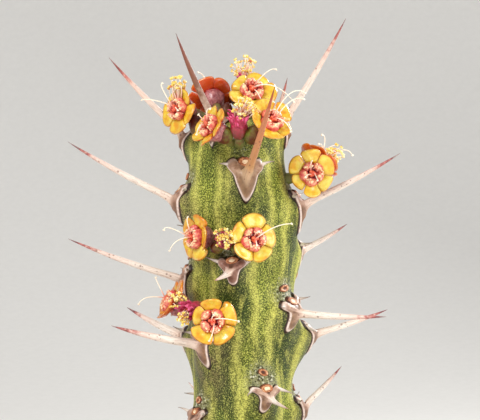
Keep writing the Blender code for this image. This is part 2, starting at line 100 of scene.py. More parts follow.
# Shields on the front and sides: azimuth, depth, heading and rise of the spine, spine length, shield half
# width, and how far the tubercle under the shield swells, as a share of its usual height
FRONT_SHIELDS = (
    (4, 9.9, 20, 46, 18.2, 3.1, 1.0),
    (-9, 24.4, -27, -14, 6.0, 2.3, 1.0),
    (24, 44.0, 35, -15, 6.0, 2.4, 1.0),
    (56, 31.1, 62, -2, 16.0, 2.5, 1.0),
    (100, 35.1, 105, 15, 14.0, 2.4, 1.6),
    (92, 46.9, 128, 35, 11.0, 2.3, 1.0),
    (80, 14.4, 80, 26, 18.4, 2.6, 0.75),
    (118, 22.0, 130, 21, 12.4, 2.4, 1.0),
    (-95, 3.5, -98, 44, 18.6, 2.2, 0.8),
    (-35, 1.8, -54, 60, 16.2, 2.0, 0.8),
    (80, 1.8, 66, 55, 20.4, 2.0, 0.9),
    (135, 3.0, 145, 62, 11.0, 1.9, 0.6),
    (-80, 13.6, -85, 27, 20.0, 2.6, 1.0),
    (-85, 26.2, -88, 18, 20.2, 2.5, 0.5),
    (-41, 36.0, -58, 11, 16.4, 2.5, 1.0),
    (-118, 35.8, -125, 19, 13.4, 2.3, 1.2),
    (-58, 48.5, -75, -8, 6.5, 2.3, 0.6),
    (-135, 46.0, -112, 42, 4.2, 2.0, 0.6),
    (-128, 19.5, -160, 12, 8.0, 2.3, 0.5),
)

# Flower heads of the front: kind, x, y and height above the tip in millimetres, heading, rise, roll
OPEN, MALE = "open", "male"
FRONT_BLOOMS = (
    (OPEN, -9.8, -4.2, 0.9, -48, 6, 0),
    (OPEN, -4.8, -11.0, -2.2, -56, 28, 20),
    (OPEN, -4.9, 1.5, 3.2, -160, 35, 0),
    (OPEN, 1.6, -3.6, 3.8, 5, 28, 10),
    (MALE, 0.5, 2.4, 5.4, 20, 60, 0),
    (OPEN, 4.4, -11.4, -1.4, 30, 28, 50),
    (MALE, -0.5, -11.4, -1.5, 0, 50, 0),
    (OPEN, 10.9, -6.0, -9.3, 8, 0, 0),
    (OPEN, 12.4, 0.6, -7.2, 125, 38, 0),
    (OPEN, -7.0, -8.6, -19.2, -57, 0, 15),
    (MALE, -2.8, -12.3, -19.5, -14, 12, 0),
    (OPEN, 1.7, -12.6, -19.5, 16, 2, 30),
    (OPEN, -4.4, -12.3, -32.0, -9, -3, 36),
    (MALE, -8.0, -9.8, -30.6, -40, -6, 0),
    (OPEN, -10.9, -5.6, -29.4, -80, 26, 0),
)

# How golden the glands of a head are, from lemon at 0 to orange at 1, where it isn't left to chance
RIPENESS = {1: 0.4, 2: 0.5, 4: 0.3, 6: 0.45, 8: 0.35, 9: 0.8, 10: 0.55, 12: 0.25, 13: 0.55, 15: 0.9, 3: 0.9}

# Long styles that stand clear of the plant: bloom number to the (x, height above the tip) of each style's
# end
STYLE_ENDS = {
    1: ((-15.7, 2.3), (-12.5, 4.9)),
    3: ((-7.0, 7.2), (-3.4, 5.5), (-5.0, 3.8)),
    4: ((5.4, 7.1), (8.2, 2.0), (3.4, 1.4)),
    6: ((9.7, 2.9), (9.5, 2.0), (7.5, -3.0)),
    8: ((9.9, -9.9), (11.8, -10.4), (10.9, -7.4)),
    9: ((12.9, -2.9), (12.4, -4.4), (17.8, -6.2)),
    10: ((-12.1, -18.1), (-11.2, -21.3), (-8.4, -16.1)),
    12: ((7.6, -17.1), (2.3, -20.4), (2.6, -18.3)),
    13: ((-5.0, -35.0), (-0.5, -32.0), (-4.3, -31.0)),
    15: ((-16.2, -29.8), (-13.5, -25.6), (-11.0, -31.5)),
}

# Bunches of anthers: bloom number to their count, the bunch's place from the head's middle, and its half
# width
ANTHER_BUNCHES = {
    1: (26, (-0.4, -0.6, 3.9), 1.45),
    5: (38, (-0.2, 0.0, 2.5), 2.1),
    7: (44, (0.9, -1.2, 2.1), 1.8),
    9: (26, (2.4, 0.0, 1.2), 1.6),
    11: (44, (0.0, -1.6, 0.1), 1.8),
    14: (20, (-0.9, -1.6, -1.2), 1.15),
    15: (30, (0.9, -3.9, 0.4), 1.45),
}


# ---------------------------------------------------------------- where things sit


def wrapped(degrees):
    """The same turn, from -180 to 180 degrees."""
    return (degrees + 180) % 360 - 180


def smooth(share):
    """0 below 0, 1 above 1, and an even S between."""
    share = np.clip(share, 0.0, 1.0)
    return share * share * (3 - 2 * share)


def heading(azimuth, rise=0.0):
    """The unit vector that points away from the stem's axis at that azimuth, raised by rise degrees."""
    a, e = math.radians(azimuth), math.radians(rise)
    return Vector((math.sin(a) * math.cos(e), -math.cos(a) * math.cos(e), math.sin(e)))


def spacing(a, b):
    """Distance over the bark, in millimetres, between two (azimuth, depth) places."""
    round_stem = math.radians(wrapped(a[0] - b[0])) * CORE_RADIUS / MM
    return math.hypot(round_stem, a[1] - b[1])


def filled_shields():
    """The shields of the back and the lower stem, each as far as it can be from those already there."""
    back = [(azimuth, depth) for azimuth in range(130, 240, 10) for depth in range(5, 50, 2)]
    lower = [(azimuth, depth) for azimuth in range(0, 360, 10) for depth in range(55, 71, 2)]
    rng = random.Random(7)
    taken = [(row[0], row[1]) for row in FRONT_SHIELDS]
    rows = []
    while True:
        best = max(back + lower, key=lambda place: min(spacing(place, other) for other in taken))
        if min(spacing(best, other) for other in taken) < SHIELD_SPACING:
            return rows
        taken.append(best)
        azimuth, depth = wrapped(best[0]), float(best[1])
        rise = 30 - 0.55 * depth + rng.uniform(-8, 8)
        length = 17.0 - 0.12 * depth + rng.uniform(-3, 3)
        turn = azimuth + rng.uniform(-15, 15)
        rows.append((azimuth, depth, turn, rise, length, rng.uniform(2.2, 2.6), 1.0))


SHIELDS = list(FRONT_SHIELDS) + filled_shields()


def back_blooms():
    """Cymes of three over shields of the back: a male head between two open ones, clear of other shields."""
    rows, cymes = [], []
    backs = sorted((row for row in SHIELDS if abs(row[0]) >= 155 and row[1] > 18), key=lambda row: row[1])
    for shield in backs:
        azimuth, depth = shield[0], shield[1] - CYME_RISE
        heads = [(azimuth + turn, depth) for turn in (-CYME_TURN, 0, CYME_TURN)]
        others = [row for row in SHIELDS if row is not shield]
        crowded = any(spacing(head, other) < HEAD_ROOM for head in heads for other in others)
        crowded = crowded or any(spacing((azimuth, depth), cyme) < CYME_ROOM for cyme in cymes)
        if crowded or len(cymes) == BACK_CYMES:
            continue
        cymes.append((azimuth, depth))
        for kind, turn, out in ((OPEN, -CYME_TURN, 11.6), (MALE, 0, 12.3), (OPEN, CYME_TURN, 11.6)):
            place = heading(azimuth + turn) * out
            rows.append((kind, place.x, place.y, -depth, azimuth + 1.3 * turn, 4, 3 * turn))
    return rows


BLOOMS = list(FRONT_BLOOMS) + back_blooms()


def core_radius(depth):
    """Radius of the stem between its tubercles, at depths in metres."""
    radius = CORE_RADIUS - UPPER_SHRINK * (1 - smooth((depth - 2 * MM) / (12 * MM)))
    radius = radius - LOWER_SHRINK * smooth((depth - 20 * MM) / (28 * MM))
    radius = radius + (NECK_RADIUS - radius) * smooth((depth - 62 * MM) / (12 * MM))
    share = np.clip((DOME_DEPTH - depth) / (DOME_DEPTH + TIP_RISE), 0.0, 1.0)
    return radius * np.sqrt(1 - share * share)


def stem_radius(azimuth, depth):
    """Radius of the stem with its tubercles, each steep above its shield and running down below it."""
    swell = 0.0
    for shield in SHIELDS:
        across = np.radians(wrapped(azimuth - shield[0])) * CORE_RADIUS / TUBERCLE_WIDTH
        drop = depth - shield[1] * MM
        run = TUBERCLE_RUN_BELOW * (0.5 + 0.5 * smooth(shield[1] / 12))
        along = drop / np.where(drop > 0, run, TUBERCLE_RISE_ABOVE)
        swell = swell + shield[6] * np.exp(-across * across - along * along)
    core = core_radius(depth)
    lean = UPPER_LEAN * np.sin(np.radians(azimuth)) * (1 - smooth((depth - 4 * MM) / (16 * MM)))
    fade = np.minimum(1.0, 1.25 * core / CORE_RADIUS) * (1 - smooth((depth - 66 * MM) / (8 * MM)))
    return core + lean * core / CORE_RADIUS + TUBERCLE_HEIGHT * np.minimum(swell, TUBERCLE_LIMIT) * fade


def stem_point(azimuth, depth, proud=0.0):
    """A point over the stem's surface, proud of it by that much along the radius."""
    point = heading(azimuth) * float(stem_radius(azimuth, depth) + proud)
    point.z = APEX - depth
    return point


def inside_stem(point):
    """Whether a point lies below the stem's surface."""
    azimuth = math.degrees(math.atan2(point.x, -point.y))
    depth = APEX - point.z
    return depth > -TIP_RISE and math.hypot(point.x, point.y) < stem_radius(azimuth, depth)


def on_bark(shield, across, up, proud):
    """A point near a shield: millimetres across and up from its middle, and proud of the bark."""
    turn = math.degrees(across * MM / (core_radius(shield[1] * MM) + TUBERCLE_HEIGHT))
    return stem_point(shield[0] + turn, (shield[1] - up) * MM, proud * MM)


def bark_axes(shield):
    """Unit vectors across and up the bark at a shield, and the one that stands out of it."""
    east = (on_bark(shield, 0.5, 0, 0) - on_bark(shield, -0.5, 0, 0)).normalized()
    up = (on_bark(shield, 0, 0.5, 0) - on_bark(shield, 0, -0.5, 0)).normalized()
    return east, up, east.cross(up).normalized()


# ---------------------------------------------------------------- mesh building


class Piece:
    """Gathers the points, faces and per-point values of one finished object."""

    def __init__(self, name):
        """Starts an empty piece of that name."""
        self.name = name
        self.points, self.faces, self.values = [], [], {}

    def add(self, points, **values):
        """Adds points, with one number or a list for each value, and returns the first one's index."""
        first = len(self.points)
        self.points += points
        for label, value in values.items():
            stored = self.values.setdefault(label, [])
            stored += [0.0] * (first - len(stored))
            stored += list(value) if isinstance(value, (list, tuple)) else [float(value)] * len(points)
        return first

    def skin(self, rings, poles=(None, None), closed=True, **values):
        """A skin through rings of equal length. A value has one entry a ring, and a pole takes its ring's."""
        starts = []
        for number, ring in enumerate(rings):
            starts.append(self.add(list(ring), **{key: value[number] for key, value in values.items()}))
        count = len(rings[0])
        last = count if closed else count - 1
        for near, far in zip(starts, starts[1:]):
            for i in range(last):
                j = (i + 1) % count
                self.faces.append((near + i, near + j, far + j, far + i))
        for pole, start, end in ((poles[0], starts[0], 0), (poles[1], starts[-1], -1)):
            if pole is not None:
                ends = {}
                for key, value in values.items():
                    entry = value[end]
                    ends[key] = sum(entry) / len(entry) if isinstance(entry, (list, tuple)) else entry
                top = self.add([Vector(pole)], **ends)
                for i in range(last):
                    self.faces.append((top, start + i, start + (i + 1) % count))

    def finish(self, material, slot, *nodes):
        """Makes the object, faces outward, gives it its material, and sets it on the fixed frame."""
        mesh = bpy.data.meshes.new(self.name)
        mesh.from_pydata([tuple(point) for point in self.points], [], self.faces)
        for label, value in self.values.items():
            value += [0.0] * (len(self.points) - len(value))
            mesh.attributes.new(label, "FLOAT", "POINT").data.foreach_set("value", value)
        return dressed(self.name, mesh, material, nodes)


def dressed(name, mesh, material, nodes, flat=False):
    """An object for a finished mesh, riding on the plant, in place of these CAD nodes."""
    shell = bmesh.new()
    shell.from_mesh(mesh)
    bmesh.ops.recalc_face_normals(shell, faces=shell.faces)
    shell.to_mesh(mesh)
    shell.free()
    mesh.materials.clear()
    mesh.materials.append(material)
    if flat:
        mesh.shade_flat()
    else:
        mesh.shade_smooth()
    piece = bpy.data.objects.new(name, mesh)
    bpy.context.scene.collection.objects.link(piece)
    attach(piece, "root")
    if nodes:
        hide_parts(*nodes)
    return piece


def axes_of(turn):
    """What a rotation makes of the unit vectors along X, Y and Z."""
    return [turn @ Vector(v) for v in ((1, 0, 0), (0, 1, 0), (0, 0, 1))]


def circle(centre, east, north, radius, sides):
    """Points round a centre in the plane of two unit vectors."""
    angles = [math.tau * step / sides for step in range(sides)]
    return [centre + (east * math.cos(a) + north * math.sin(a)) * radius for a in angles]


def tube(piece, path, radii, sides, tip=True, broad=1.0, **values):
    """A bent tube along points, round or broad, closed at both ends, with one value for each point."""
    rings = []
    north = None
    for number, centre in enumerate(path):
        ahead = path[min(number + 1, len(path) - 1)] - path[max(number - 1, 0)]
        ahead.normalize()
        if north is None:
            north = ahead.orthogonal().normalized()
        north = (north - ahead * north.dot(ahead)).normalized()
        rings.append(circle(centre, ahead.cross(north) * broad, north, radii[number], sides))
    end = path[-1] + (path[-1] - path[-2]).normalized() * radii[-1] * (0.8 if tip else 0.0)
    piece.skin(rings, (path[0], end), **values)


def bent(start, middle, end, steps):
    """Points on the smooth curve from start to end that middle pulls aside."""
    shares = [step / steps for step in range(steps + 1)]
    return [start * (1 - s) ** 2 + middle * 2 * s * (1 - s) + end * s * s for s in shares]


def closed_curve(corners, count):
    """Evenly many points on a smooth closed curve through the corners."""
    points = []
    total = len(corners)
    for step in range(count):
        place = step / count * total
        i, s = int(place), place % 1
        a, b, c, d = (Vector(corners[(i + k) % total]) for k in (-1, 0, 1, 2))
        points.append(0.5 * (2 * b + (c - a) * s + (2 * a - 5 * b + 4 * c - d) * s * s
                             + (3 * b - a - 3 * c + d) * s ** 3))
    return points


# ---------------------------------------------------------------- stem


# Shield number to the half width of its zone of painted shade in shield sizes, the zone's half length,
# and how far aside its pale streaks run, where they aren't the usual ones
SHADE_ZONES = {14: (5.0, 8.5, 5.5)}
USUAL_SHADE_ZONE = (3.2, 6.4, 3.6)
# Cork round a shield: its strength, its half width and half length in shield sizes, and how much longer it
# is and how much lower it starts, in millimetres. The weathered side has much of it, and the rest has
# little.
MUCH_CORK = (1.0, 3.8, 4.0, 2.0, 3.0)
LITTLE_CORK = (0.4, 2.6, 4.0, 0.0, 0.0)
# Points round the stem and down it, those down its tip, and the depth given to its unseen foot for its
# colours
SKIN_SIDES, SKIN_ROWS, TIP_ROWS = 288, 300, 34
FOOT_DEPTH = 80.0
# Shield number to the strength of the grey bloom above it, where it isn't full
FAINT_BLOOM = {0: 0.35}


def bark_marks(a, d):
    """How strongly each mark of the bark shows at these azimuths and depths: pale streaks down either side
    of a tubercle, grey bloom above its shield, cork round it, and the painted shade round its tongue."""
    streak, halo, worn, near = np.zeros_like(a), np.zeros_like(a), np.zeros_like(a), np.zeros_like(a)
    for number, row in enumerate(SHIELDS):
        size = row[5] / USUAL_SHIELD
        s = np.radians(wrapped(a - row[0])) * BARK_PER_RADIAN
        g = d / MM - row[1]
        broad, long, out = SHADE_ZONES.get(number, USUAL_SHADE_ZONE)
        # near: the zone of painted shade round the shield and its tongue
        near = np.maximum(near, np.exp(-((s / (broad * size)) ** 4) - ((g + 3.6 - long) / long) ** 4))
        window = smooth((g + 6) / 4) * (1 - smooth((g - 8) / 9))
        aside = out * size + 0.06 * g + 0.35 * np.sin(g * 0.8 + row[0])
        streak = np.maximum(streak, np.exp(-(((np.abs(s) - aside) / 0.85) ** 2)) * window)
        bloom = FAINT_BLOOM.get(number, 1.0)
        above = (s / (2.9 * size)) ** 2, ((g + 2.7 * size) / (2.4 * size)) ** 2
        halo = np.maximum(halo, bloom * np.exp(-above[0] - above[1]))
        weathered = -150 < row[0] < -30 and row[1] > 5
        cork, wide, tall, longer, lower = MUCH_CORK if weathered else LITTLE_CORK
        fall = (g + 0.6 - lower) / (tall * size + longer)
        worn = np.maximum(worn, cork * np.exp(-((s / (wide * size)) ** 2) - fall ** 2))
    return {"streak": streak, "halo": halo, "worn": worn, "near": near, "depth": d / MM}


def stem_skin(material):
    """The green stem, tubercled, with low ridges down either side of each shield's tongue."""
    depth = np.concatenate([
        -TIP_RISE + (TIP_RISE + 3 * MM) * np.linspace(0.004, 1, TIP_ROWS) ** 2,
        np.linspace(3 * MM, NECK_DEPTH, SKIN_ROWS - TIP_ROWS + 1)[1:],
    ])
    azimuth = np.arange(SKIN_SIDES) * 360 / SKIN_SIDES
    a, d = np.meshgrid(azimuth, depth)
    marks = bark_marks(a, d)
    radius = stem_radius(a, d)
    angle = np.radians(a)
    points = np.stack([radius * np.sin(angle), -radius * np.cos(angle), APEX - d], axis=-1).reshape(-1, 3)
    uneven = np.array([noise.noise(Vector(p) * 260) + 0.5 * noise.noise(Vector(p) * 620) for p in points])
    fade = np.minimum(1, radius.reshape(-1) / (4 * MM))
    outward = np.stack([np.sin(angle), -np.cos(angle), 0 * angle], axis=-1).reshape(-1, 3)
    lift = (0.09 * uneven * fade + 0.10 * (marks["streak"] - 0.3).reshape(-1) * fade) * MM
    points = points + outward * lift[:, None]
    rings = [[Vector(p) for p in ring] for ring in points.reshape(len(depth), SKIN_SIDES, 3)]
    values = {label: mark.tolist() for label, mark in marks.items()}
    for share in (0.1, 0.5, 1.0):
        width = NECK_RADIUS + (ROOT_RADIUS - NECK_RADIUS) * share
        rings.append([Vector((width * math.sin(t), -width * math.cos(t), SOIL_TOP - ROOT_DEPTH * share))
                      for t in np.radians(azimuth)])
        for label, mark in values.items():
            mark.append([FOOT_DEPTH if label == "depth" else 0.0] * SKIN_SIDES)
    piece = Piece("stem_skin")
    piece.skin(rings, (Vector((0, 0, APEX + TIP_RISE)), Vector((0, 0, SOIL_TOP - ROOT_DEPTH))), **values)
    return piece.finish(material, "stem", "stem")


# One shield's outline from its top round to its tongue, in half widths across and up. Below the middle it
# is in tongue lengths instead, because young shields run farther down the tubercle than old ones.
SHIELD_TOP = ((0.0, 0.60), (0.34, 0.64), (0.64, 0.88), (0.92, 0.90), (1.09, 0.64), (0.90, 0.37), (0.63, 0.10))
YOUNG_TONGUE = ((0.49, -0.24), (0.33, -0.58), (0.15, -0.88), (0.0, -1.0))
OLD_TONGUE = ((0.45, -0.22), (0.36, -0.52), (0.25, -0.84), (0.0, -1.0))
# Shields above this depth are young, with these tongue lengths in half widths
YOUNG_DEPTH, YOUNG_REACH, OLD_REACH = 18, 1.7, 1.25

# Shield number to its tongue's length in half widths, and to its spine's thickness, where they aren't the
# usual ones
TONGUES = {0: 1.24, 1: 0.95, 2: 1.0, 3: 1.2, 12: 1.35, 14: 1.42}
STOUTNESS = {0: 1.05, 1: 1.25, 3: 1.06, 14: 1.2, 15: 1.22}
# Shield number to how far its tongue leans to the right, how much higher its right lobe stands than its
# left one, and its lobes' height as a share of the usual one
SET_OFF = {1: (0.12, -0.03, 0.92), 2: (-0.28, 0.0, 0.70), 3: (-0.42, 0.26, 0.95), 12: (0.1, 0.1, 1.0),
           14: (0.26, -0.15, 0.8)}
# Shield number to how fresh its spine is, and how dark its plate, from 0 to 1, where they aren't left to
# chance, and the one whose spine is red to its root
FRESHNESS = {0: 1.0, 10: 0.08}
SHADES = {0: 0.5, 1: 1.0, 2: 0.1, 3: 0.0, 14: 0.15}
RUDDY_SPINE = 9
# Points round a shield and rings along its spine's path, and where the knobs on its two lobes stand
PLATE_SIDES, SPINE_STEPS = 60, 36
KNOB_ACROSS, KNOB_UP = 0.86, 0.62
# Rings of a shield from outside in: size, millimetres proud of the bark, tone of the rim (near 1 the
# painted shadow at its foot, lower the pale rim), and share along the spine
PLATE_RINGS = ((1.13, -0.30, 1.0, -1.0), (1.12, 0.01, 1.0, -1.0), (1.05, 0.11, 0.98, -1.0),
               (0.99, 0.26, 0.62, -1.0), (0.93, 0.40, 0.40, -1.0), (0.86, 0.42, 0.16, -1.0),
               (0.64, 0.42, 0.0, -0.62), (0.50, 0.56, 0.0, -0.52), (0.40, 0.78, 0.0, -0.42))
# Rings where a shield turns into its spine: share of the root's length, size, and how round the ring is
# already
ROOT_RINGS = ((0.95, 0.36, 0.35), (1.2, 0.32, 0.66), (1.6, 0.3, 0.88))
ROOT_LENGTH = 1.25
SPINE_RINGS = 26


def plate_spot(shield, u, v):
    """Millimetres across and up of a place on a shield, given in half widths, with its own lean and tilt."""
    lean, tilt, tall = SET_OFF.get(SHIELDS.index(shield), (0.0, 0.0, 1.0))
    lobes = float(smooth(v + 0.4))
    across, up = u + lean * max(0.0, -v), v * (1 + (tall - 1) * lobes) + tilt * u * lobes
    return shield[5] * across, shield[5] * up


def shield_outline(shield, rng, count):
    """Points round a shield, in millimetres across and up from where its spine stands."""
    wide = shield[5]
    young = shield[1] < YOUNG_DEPTH
    tongue = wide * (YOUNG_REACH if young else OLD_REACH) * rng.uniform(0.93, 1.07)
    tongue = wide * TONGUES.get(SHIELDS.index(shield), tongue / wide)
    low = YOUNG_TONGUE if young else OLD_TONGUE
    half = list(SHIELD_TOP) + [(u, v * tongue / wide) for u, v in low]
    ring = half + [(-u, v) for u, v in reversed(half[1:-1])]
    ring = [plate_spot(shield, u * rng.uniform(0.95, 1.05), v * rng.uniform(0.96, 1.04)) for u, v in ring]
    return closed_curve(ring, count)


def spine_path(shield, steps):
    """Points from under the shield to the spine's tip, curving slightly upwards."""
    azimuth, depth, turn, rise, length = shield[:5]
    points = [stem_point(azimuth, depth * MM, -0.5 * MM)]
    for step in range(1, steps + 1):
        bend = 9 * ((step - 0.5) / steps - 0.37)
        points.append(points[-1] + heading(turn, rise + bend) * length * MM / steps)
    return points


def spine_radius(shield, share):
    """Radius of a shield's spine at a share of its length, with a flare where it leaves the shield."""
    thick = SPINE_RADIUS * min(1.0, (shield[4] / 14) ** 0.6) * STOUTNESS.get(SHIELDS.index(shield), 1.0)
    reach = share * shield[4] * MM
    flare = 0.6 * thick * math.exp(-((reach / (1.7 * MM)) ** 2))
    return thick * (0.82 - 0.79 * share ** 2.4) + flare


def shields_and_spines(material):
    """Each horny shield and the spine that grows out of it, as one skin from the shield's rim to the tip."""
    piece = Piece("horny_shields")
    for number, shield in enumerate(SHIELDS):
        rng = random.Random(300 + number)
        wide = shield[5]
        young = FRESHNESS.get(number, 0.5 * math.exp(-shield[1] / 5))
        ruddy = 0.95 if number == RUDDY_SPINE else rng.uniform(0.0, 0.2)
        shade = SHADES.get(number, rng.uniform(0.0, 0.5))
        outline = shield_outline(shield, rng, PLATE_SIDES)
        angles = [math.atan2(point.y - 0.05 * wide, point.x) for point in outline]
        east, up = bark_axes(shield)[:2]
        path = spine_path(shield, SPINE_STEPS)
        rings, along, edge, reach = [], [], [], []

        def spine_ring(share):
            """The spine's skin at a share of its length, turned with the shield."""
            place = share * SPINE_STEPS
            i = min(int(place), SPINE_STEPS - 1)
            centre = path[i].lerp(path[i + 1], place - i)
            ahead = (path[i + 1] - path[i]).normalized()
            side = (east - ahead * east.dot(ahead)).normalized()
            north = (up - ahead * up.dot(ahead) - side * up.dot(side)).normalized()
            radius = spine_radius(shield, share)
            return [centre + (side * math.cos(t) + north * math.sin(t)) * radius for t in angles]

        knobs = [plate_spot(shield, side * KNOB_ACROSS, KNOB_UP) for side in (-1, 1)]

        def plate_ring(size, proud):
            """The shield's outline at that size, lifted off the bark, more so on its two knobs."""
            points = []
            for spot in outline:
                across, rise = spot.x * size, spot.y * size
                knob = min(math.hypot((across - x) / 0.34, (rise - y) / 0.30) for x, y in knobs) / wide
                bulge = 0.55 * math.exp(-knob * knob) if proud > 0.1 else 0.0
                points.append(on_bark(shield, across, rise, proud + bulge))
            return points

        def add_ring(points, share, rim, distance):
            """Adds a ring, its share along the spine, its rim tone, and its distance in millimetres."""
            rings.append(points)
            along.append(share)
            edge.append(rim)
            reach.append(distance)

        for size, proud, rim, share in PLATE_RINGS:
            add_ring(plate_ring(size, proud), share, rim, 2.0 * (size - 1))
        root = ROOT_LENGTH / shield[4]
        for length, size, blend in ROOT_RINGS:
            share = length * root
            points = [p.lerp(q, blend) for p, q in zip(plate_ring(size, 0.85), spine_ring(share))]
            add_ring(points, -0.38 + 0.4 * blend, 0.0, share * shield[4])
        for step in range(1, SPINE_RINGS + 1):
            share = min(2.0 * root + (1 - 2.0 * root) * (step / SPINE_RINGS) ** 0.9, 0.997)
            add_ring(spine_ring(share), share * (1.0 if shield[4] > 8 else 0.82), 0.0, share * shield[4])
        count = len(rings)
        piece.skin(rings, (on_bark(shield, 0, 0, -0.8), path[-1]), along=along, edge=edge, reach=reach,
                   young=[young] * count, ruddy=[ruddy] * count, shade=[shade] * count,
                   east=[[math.cos(t) for t in angles]] * count,
                   north=[[math.sin(t) for t in angles]] * count)
    return piece.finish(material, "stem", "stem")


# Shield number and side to the way its prickle points, to the right and up, and its length, where it shows
# well
PRICKLE_AIMS = {(0, -1): (-1, 0.1, 1.6), (0, 1): (1, 0.3, 2.1), (2, -1): (-0.7, -0.7, 1.3),
                (2, 1): (1, -0.3, 2.5), (3, 1): (1, 0.15, 2.2), (4, -1): (1, -0.55, 2.0),
                (14, 1): (1, -0.45, 1.4)}


def prickles(material):
    """The two short, crooked prickles that stand out of each shield's lobes."""
    piece = Piece("lobe_prickles")
    for number, shield in enumerate(SHIELDS):
        rng = random.Random(500 + number)
        for side in (-1, 1):
            length = rng.uniform(1.3, 2.7)
            root = on_bark(shield, *plate_spot(shield, side * 0.98, KNOB_UP), 0.45)
            east, up, out = bark_axes(shield)
            aim = east * side * rng.uniform(0.8, 1.2) + out * rng.uniform(0.2, 0.8)
            aim += up * rng.uniform(-0.2, 0.5)
            if (number, side) in PRICKLE_AIMS:
                right, rise, length = PRICKLE_AIMS[number, side]
                aim = Vector((right, -0.25, rise))
            aim.normalize()
            end = root + aim * length * MM
            middle = root.lerp(end, 0.5) + up * rng.uniform(-0.25, 0.35) * MM
            path = bent(root - aim * 0.3 * MM, middle, end, 7)
            radii = [(0.34 * (1 - step / 7) ** 1.3 + 0.04) * MM for step in range(8)]
            tube(piece, path, radii, 8, along=[0.2 + 0.5 * step / 7 for step in range(8)], young=[0.0] * 8,
                 edge=[0.0] * 8, reach=[0.3 * step for step in range(8)], ruddy=[0.0] * 8, shade=[0.0] * 8,
                 dry=[step / 7 for step in range(8)], east=[1.0] * 8, north=[0.3] * 8)
    return piece.finish(material, "stem", "stem")


# Rings of a scar, from outside in: size, height as a share, and tone from dark to cream
LEAF_SCAR = ((1.35, -0.4, 0.0), (1.15, 0.45, 0.0), (1.0, 0.95, 0.30), (0.82, 1.0, 0.55), (0.6, 0.75, 0.35),
             (0.42, 0.85, 0.95), (0.2, 0.9, 1.0))
BUD_SCAR = ((1.3, -0.6, 0.0), (1.12, 0.3, 0.05), (1.0, 0.9, 0.4), (0.84, 1.05, 0.66), (0.64, 0.95, 0.55),
            (0.46, 0.7, 0.3), (0.28, 0.4, 0.0))
# Shield number to the half width of the bud scar above it, where it isn't the usual one
BROAD_SCARS = {3: 1.3, 2: 0.95}


def scars(material):
    """The oval leaf scar between each shield's lobes, and the bud scar higher up where nothing flowers."""
    piece = Piece("leaf_scars")
    flowering = [(math.degrees(math.atan2(b[1], -b[2])), -b[3]) for b in BLOOMS]
    for number, shield in enumerate(SHIELDS):
        rng = random.Random(700 + number)
        wide = shield[5]
        across, up = plate_spot(shield, 0.0, 0.76)
        ovals = [(LEAF_SCAR, across, up, 0.44 * wide, 0.235 * wide, 0.50)]
        above = (shield[0], shield[1] - 1.5 * wide)
        if min(spacing(above, place) for place in flowering) > 6 and shield[1] > 8:
            broad = BROAD_SCARS.get(number, 0.85)
            ovals.append((BUD_SCAR, rng.uniform(-0.5, 0.3), 1.52 * wide, broad, 0.52, 0.26))
        for profile, across, up, half, tall, high in ovals:
            lean = rng.uniform(-0.3, 0.3)
            turns = np.linspace(0, math.tau, 24, endpoint=False)
            rings = [[on_bark(shield, across + half * size * math.cos(t),
                              up + tall * size * math.sin(t + lean), high * share) for t in turns]
                     for size, share, tone in profile]
            last = high * (profile[-1][1] - 0.1)
            piece.skin(rings, (on_bark(shield, across, up, -0.3), on_bark(shield, across, up, last)),
                       scar=[tone for size, share, tone in profile])
    return piece.finish(material, "stem", "stem")


# ---------------------------------------------------------------- flower heads


class Head:
    """One flower head: its own axes, where +Z is the way it faces, and places on it in millimetres."""

    def __init__(self, number, row):
        """Takes its place from a row of BLOOMS, and starts its own run of random numbers."""
        self.number, self.kind = number, row[0]
        self.centre = Vector((row[1] * MM, row[2] * MM, APEX + row[3] * MM))
        self.facing = heading(row[4], row[5])
        self.turn = self.facing.to_track_quat("Z", "Y") @ Quaternion((0, 0, 1), math.radians(row[6]))
        self.rng = random.Random(900 + number)

    def at(self, x, y, z):
        """The point at these millimetres along the head's axes."""
        return self.centre + self.turn @ Vector((x * MM, y * MM, z * MM))

    def around(self, angle, out, z):
        """The point that many millimetres out from the head's axis, at an angle in radians."""
        return self.at(out * math.cos(angle), out * math.sin(angle), z)


HEADS = [Head(number, row) for number, row in enumerate(BLOOMS, 1)]
OPEN_HEADS = [head for head in HEADS if head.kind == OPEN]
MALE_HEADS = [head for head in HEADS if head.kind == MALE]


# Gland counts of the three patterns of heads, and how far a gland reaches from the head's axis, in
# millimetres
GLAND_COUNTS = (5, 5, 6)
GLAND_INNER, GLAND_OUTER = 1.58, 3.80
# Rings of a cup from its foot up, in millimetres: radius, height and tone
OPEN_CUP = ((0.55, -2.9, 0.0), (1.0, -2.72, 0.0), (1.45, -2.2, 0.1), (1.8, -1.5, 0.2), (1.95, -0.95, 0.3),
            (1.85, -0.62, 0.35), (1.62, -0.4, 0.4), (1.55, 0.0, 0.4), (1.45, 0.35, 0.45), (1.0, 0.3, 0.1),
            (0.5, 0.2, 0.0))
MALE_CUP = ((0.55, -2.9, 0.0), (0.9, -2.7, 0.0), (1.2, -2.1, 0.08), (1.36, -1.4, 0.2), (1.36, -0.8, 0.35),
            (1.25, -0.3, 0.55), (1.15, 0.05, 0.75), (0.9, 0.2, 0.6), (0.4, 0.1, 0.3))
LOBES, MALE_LOBES, STYLES = 5, 24, 3
# Bloom number to how fresh a male head is, where it isn't fully
FADED = {11: 0.55}


def nodes_of(heads, part):
    """The names of the heads' solids, of their glands or their heart."""
    return [f"bloom_{head.number:02d}_{part}" for head in heads]


def bell(head, profile, waves):
    """The rings of a head's cup, with five shallow waves round it."""
    return [[head.around(math.tau * k / 30, out * (1 + waves * math.cos(5 * math.tau * k / 30)), z)
             for k in range(30)] for out, z, tone in profile]


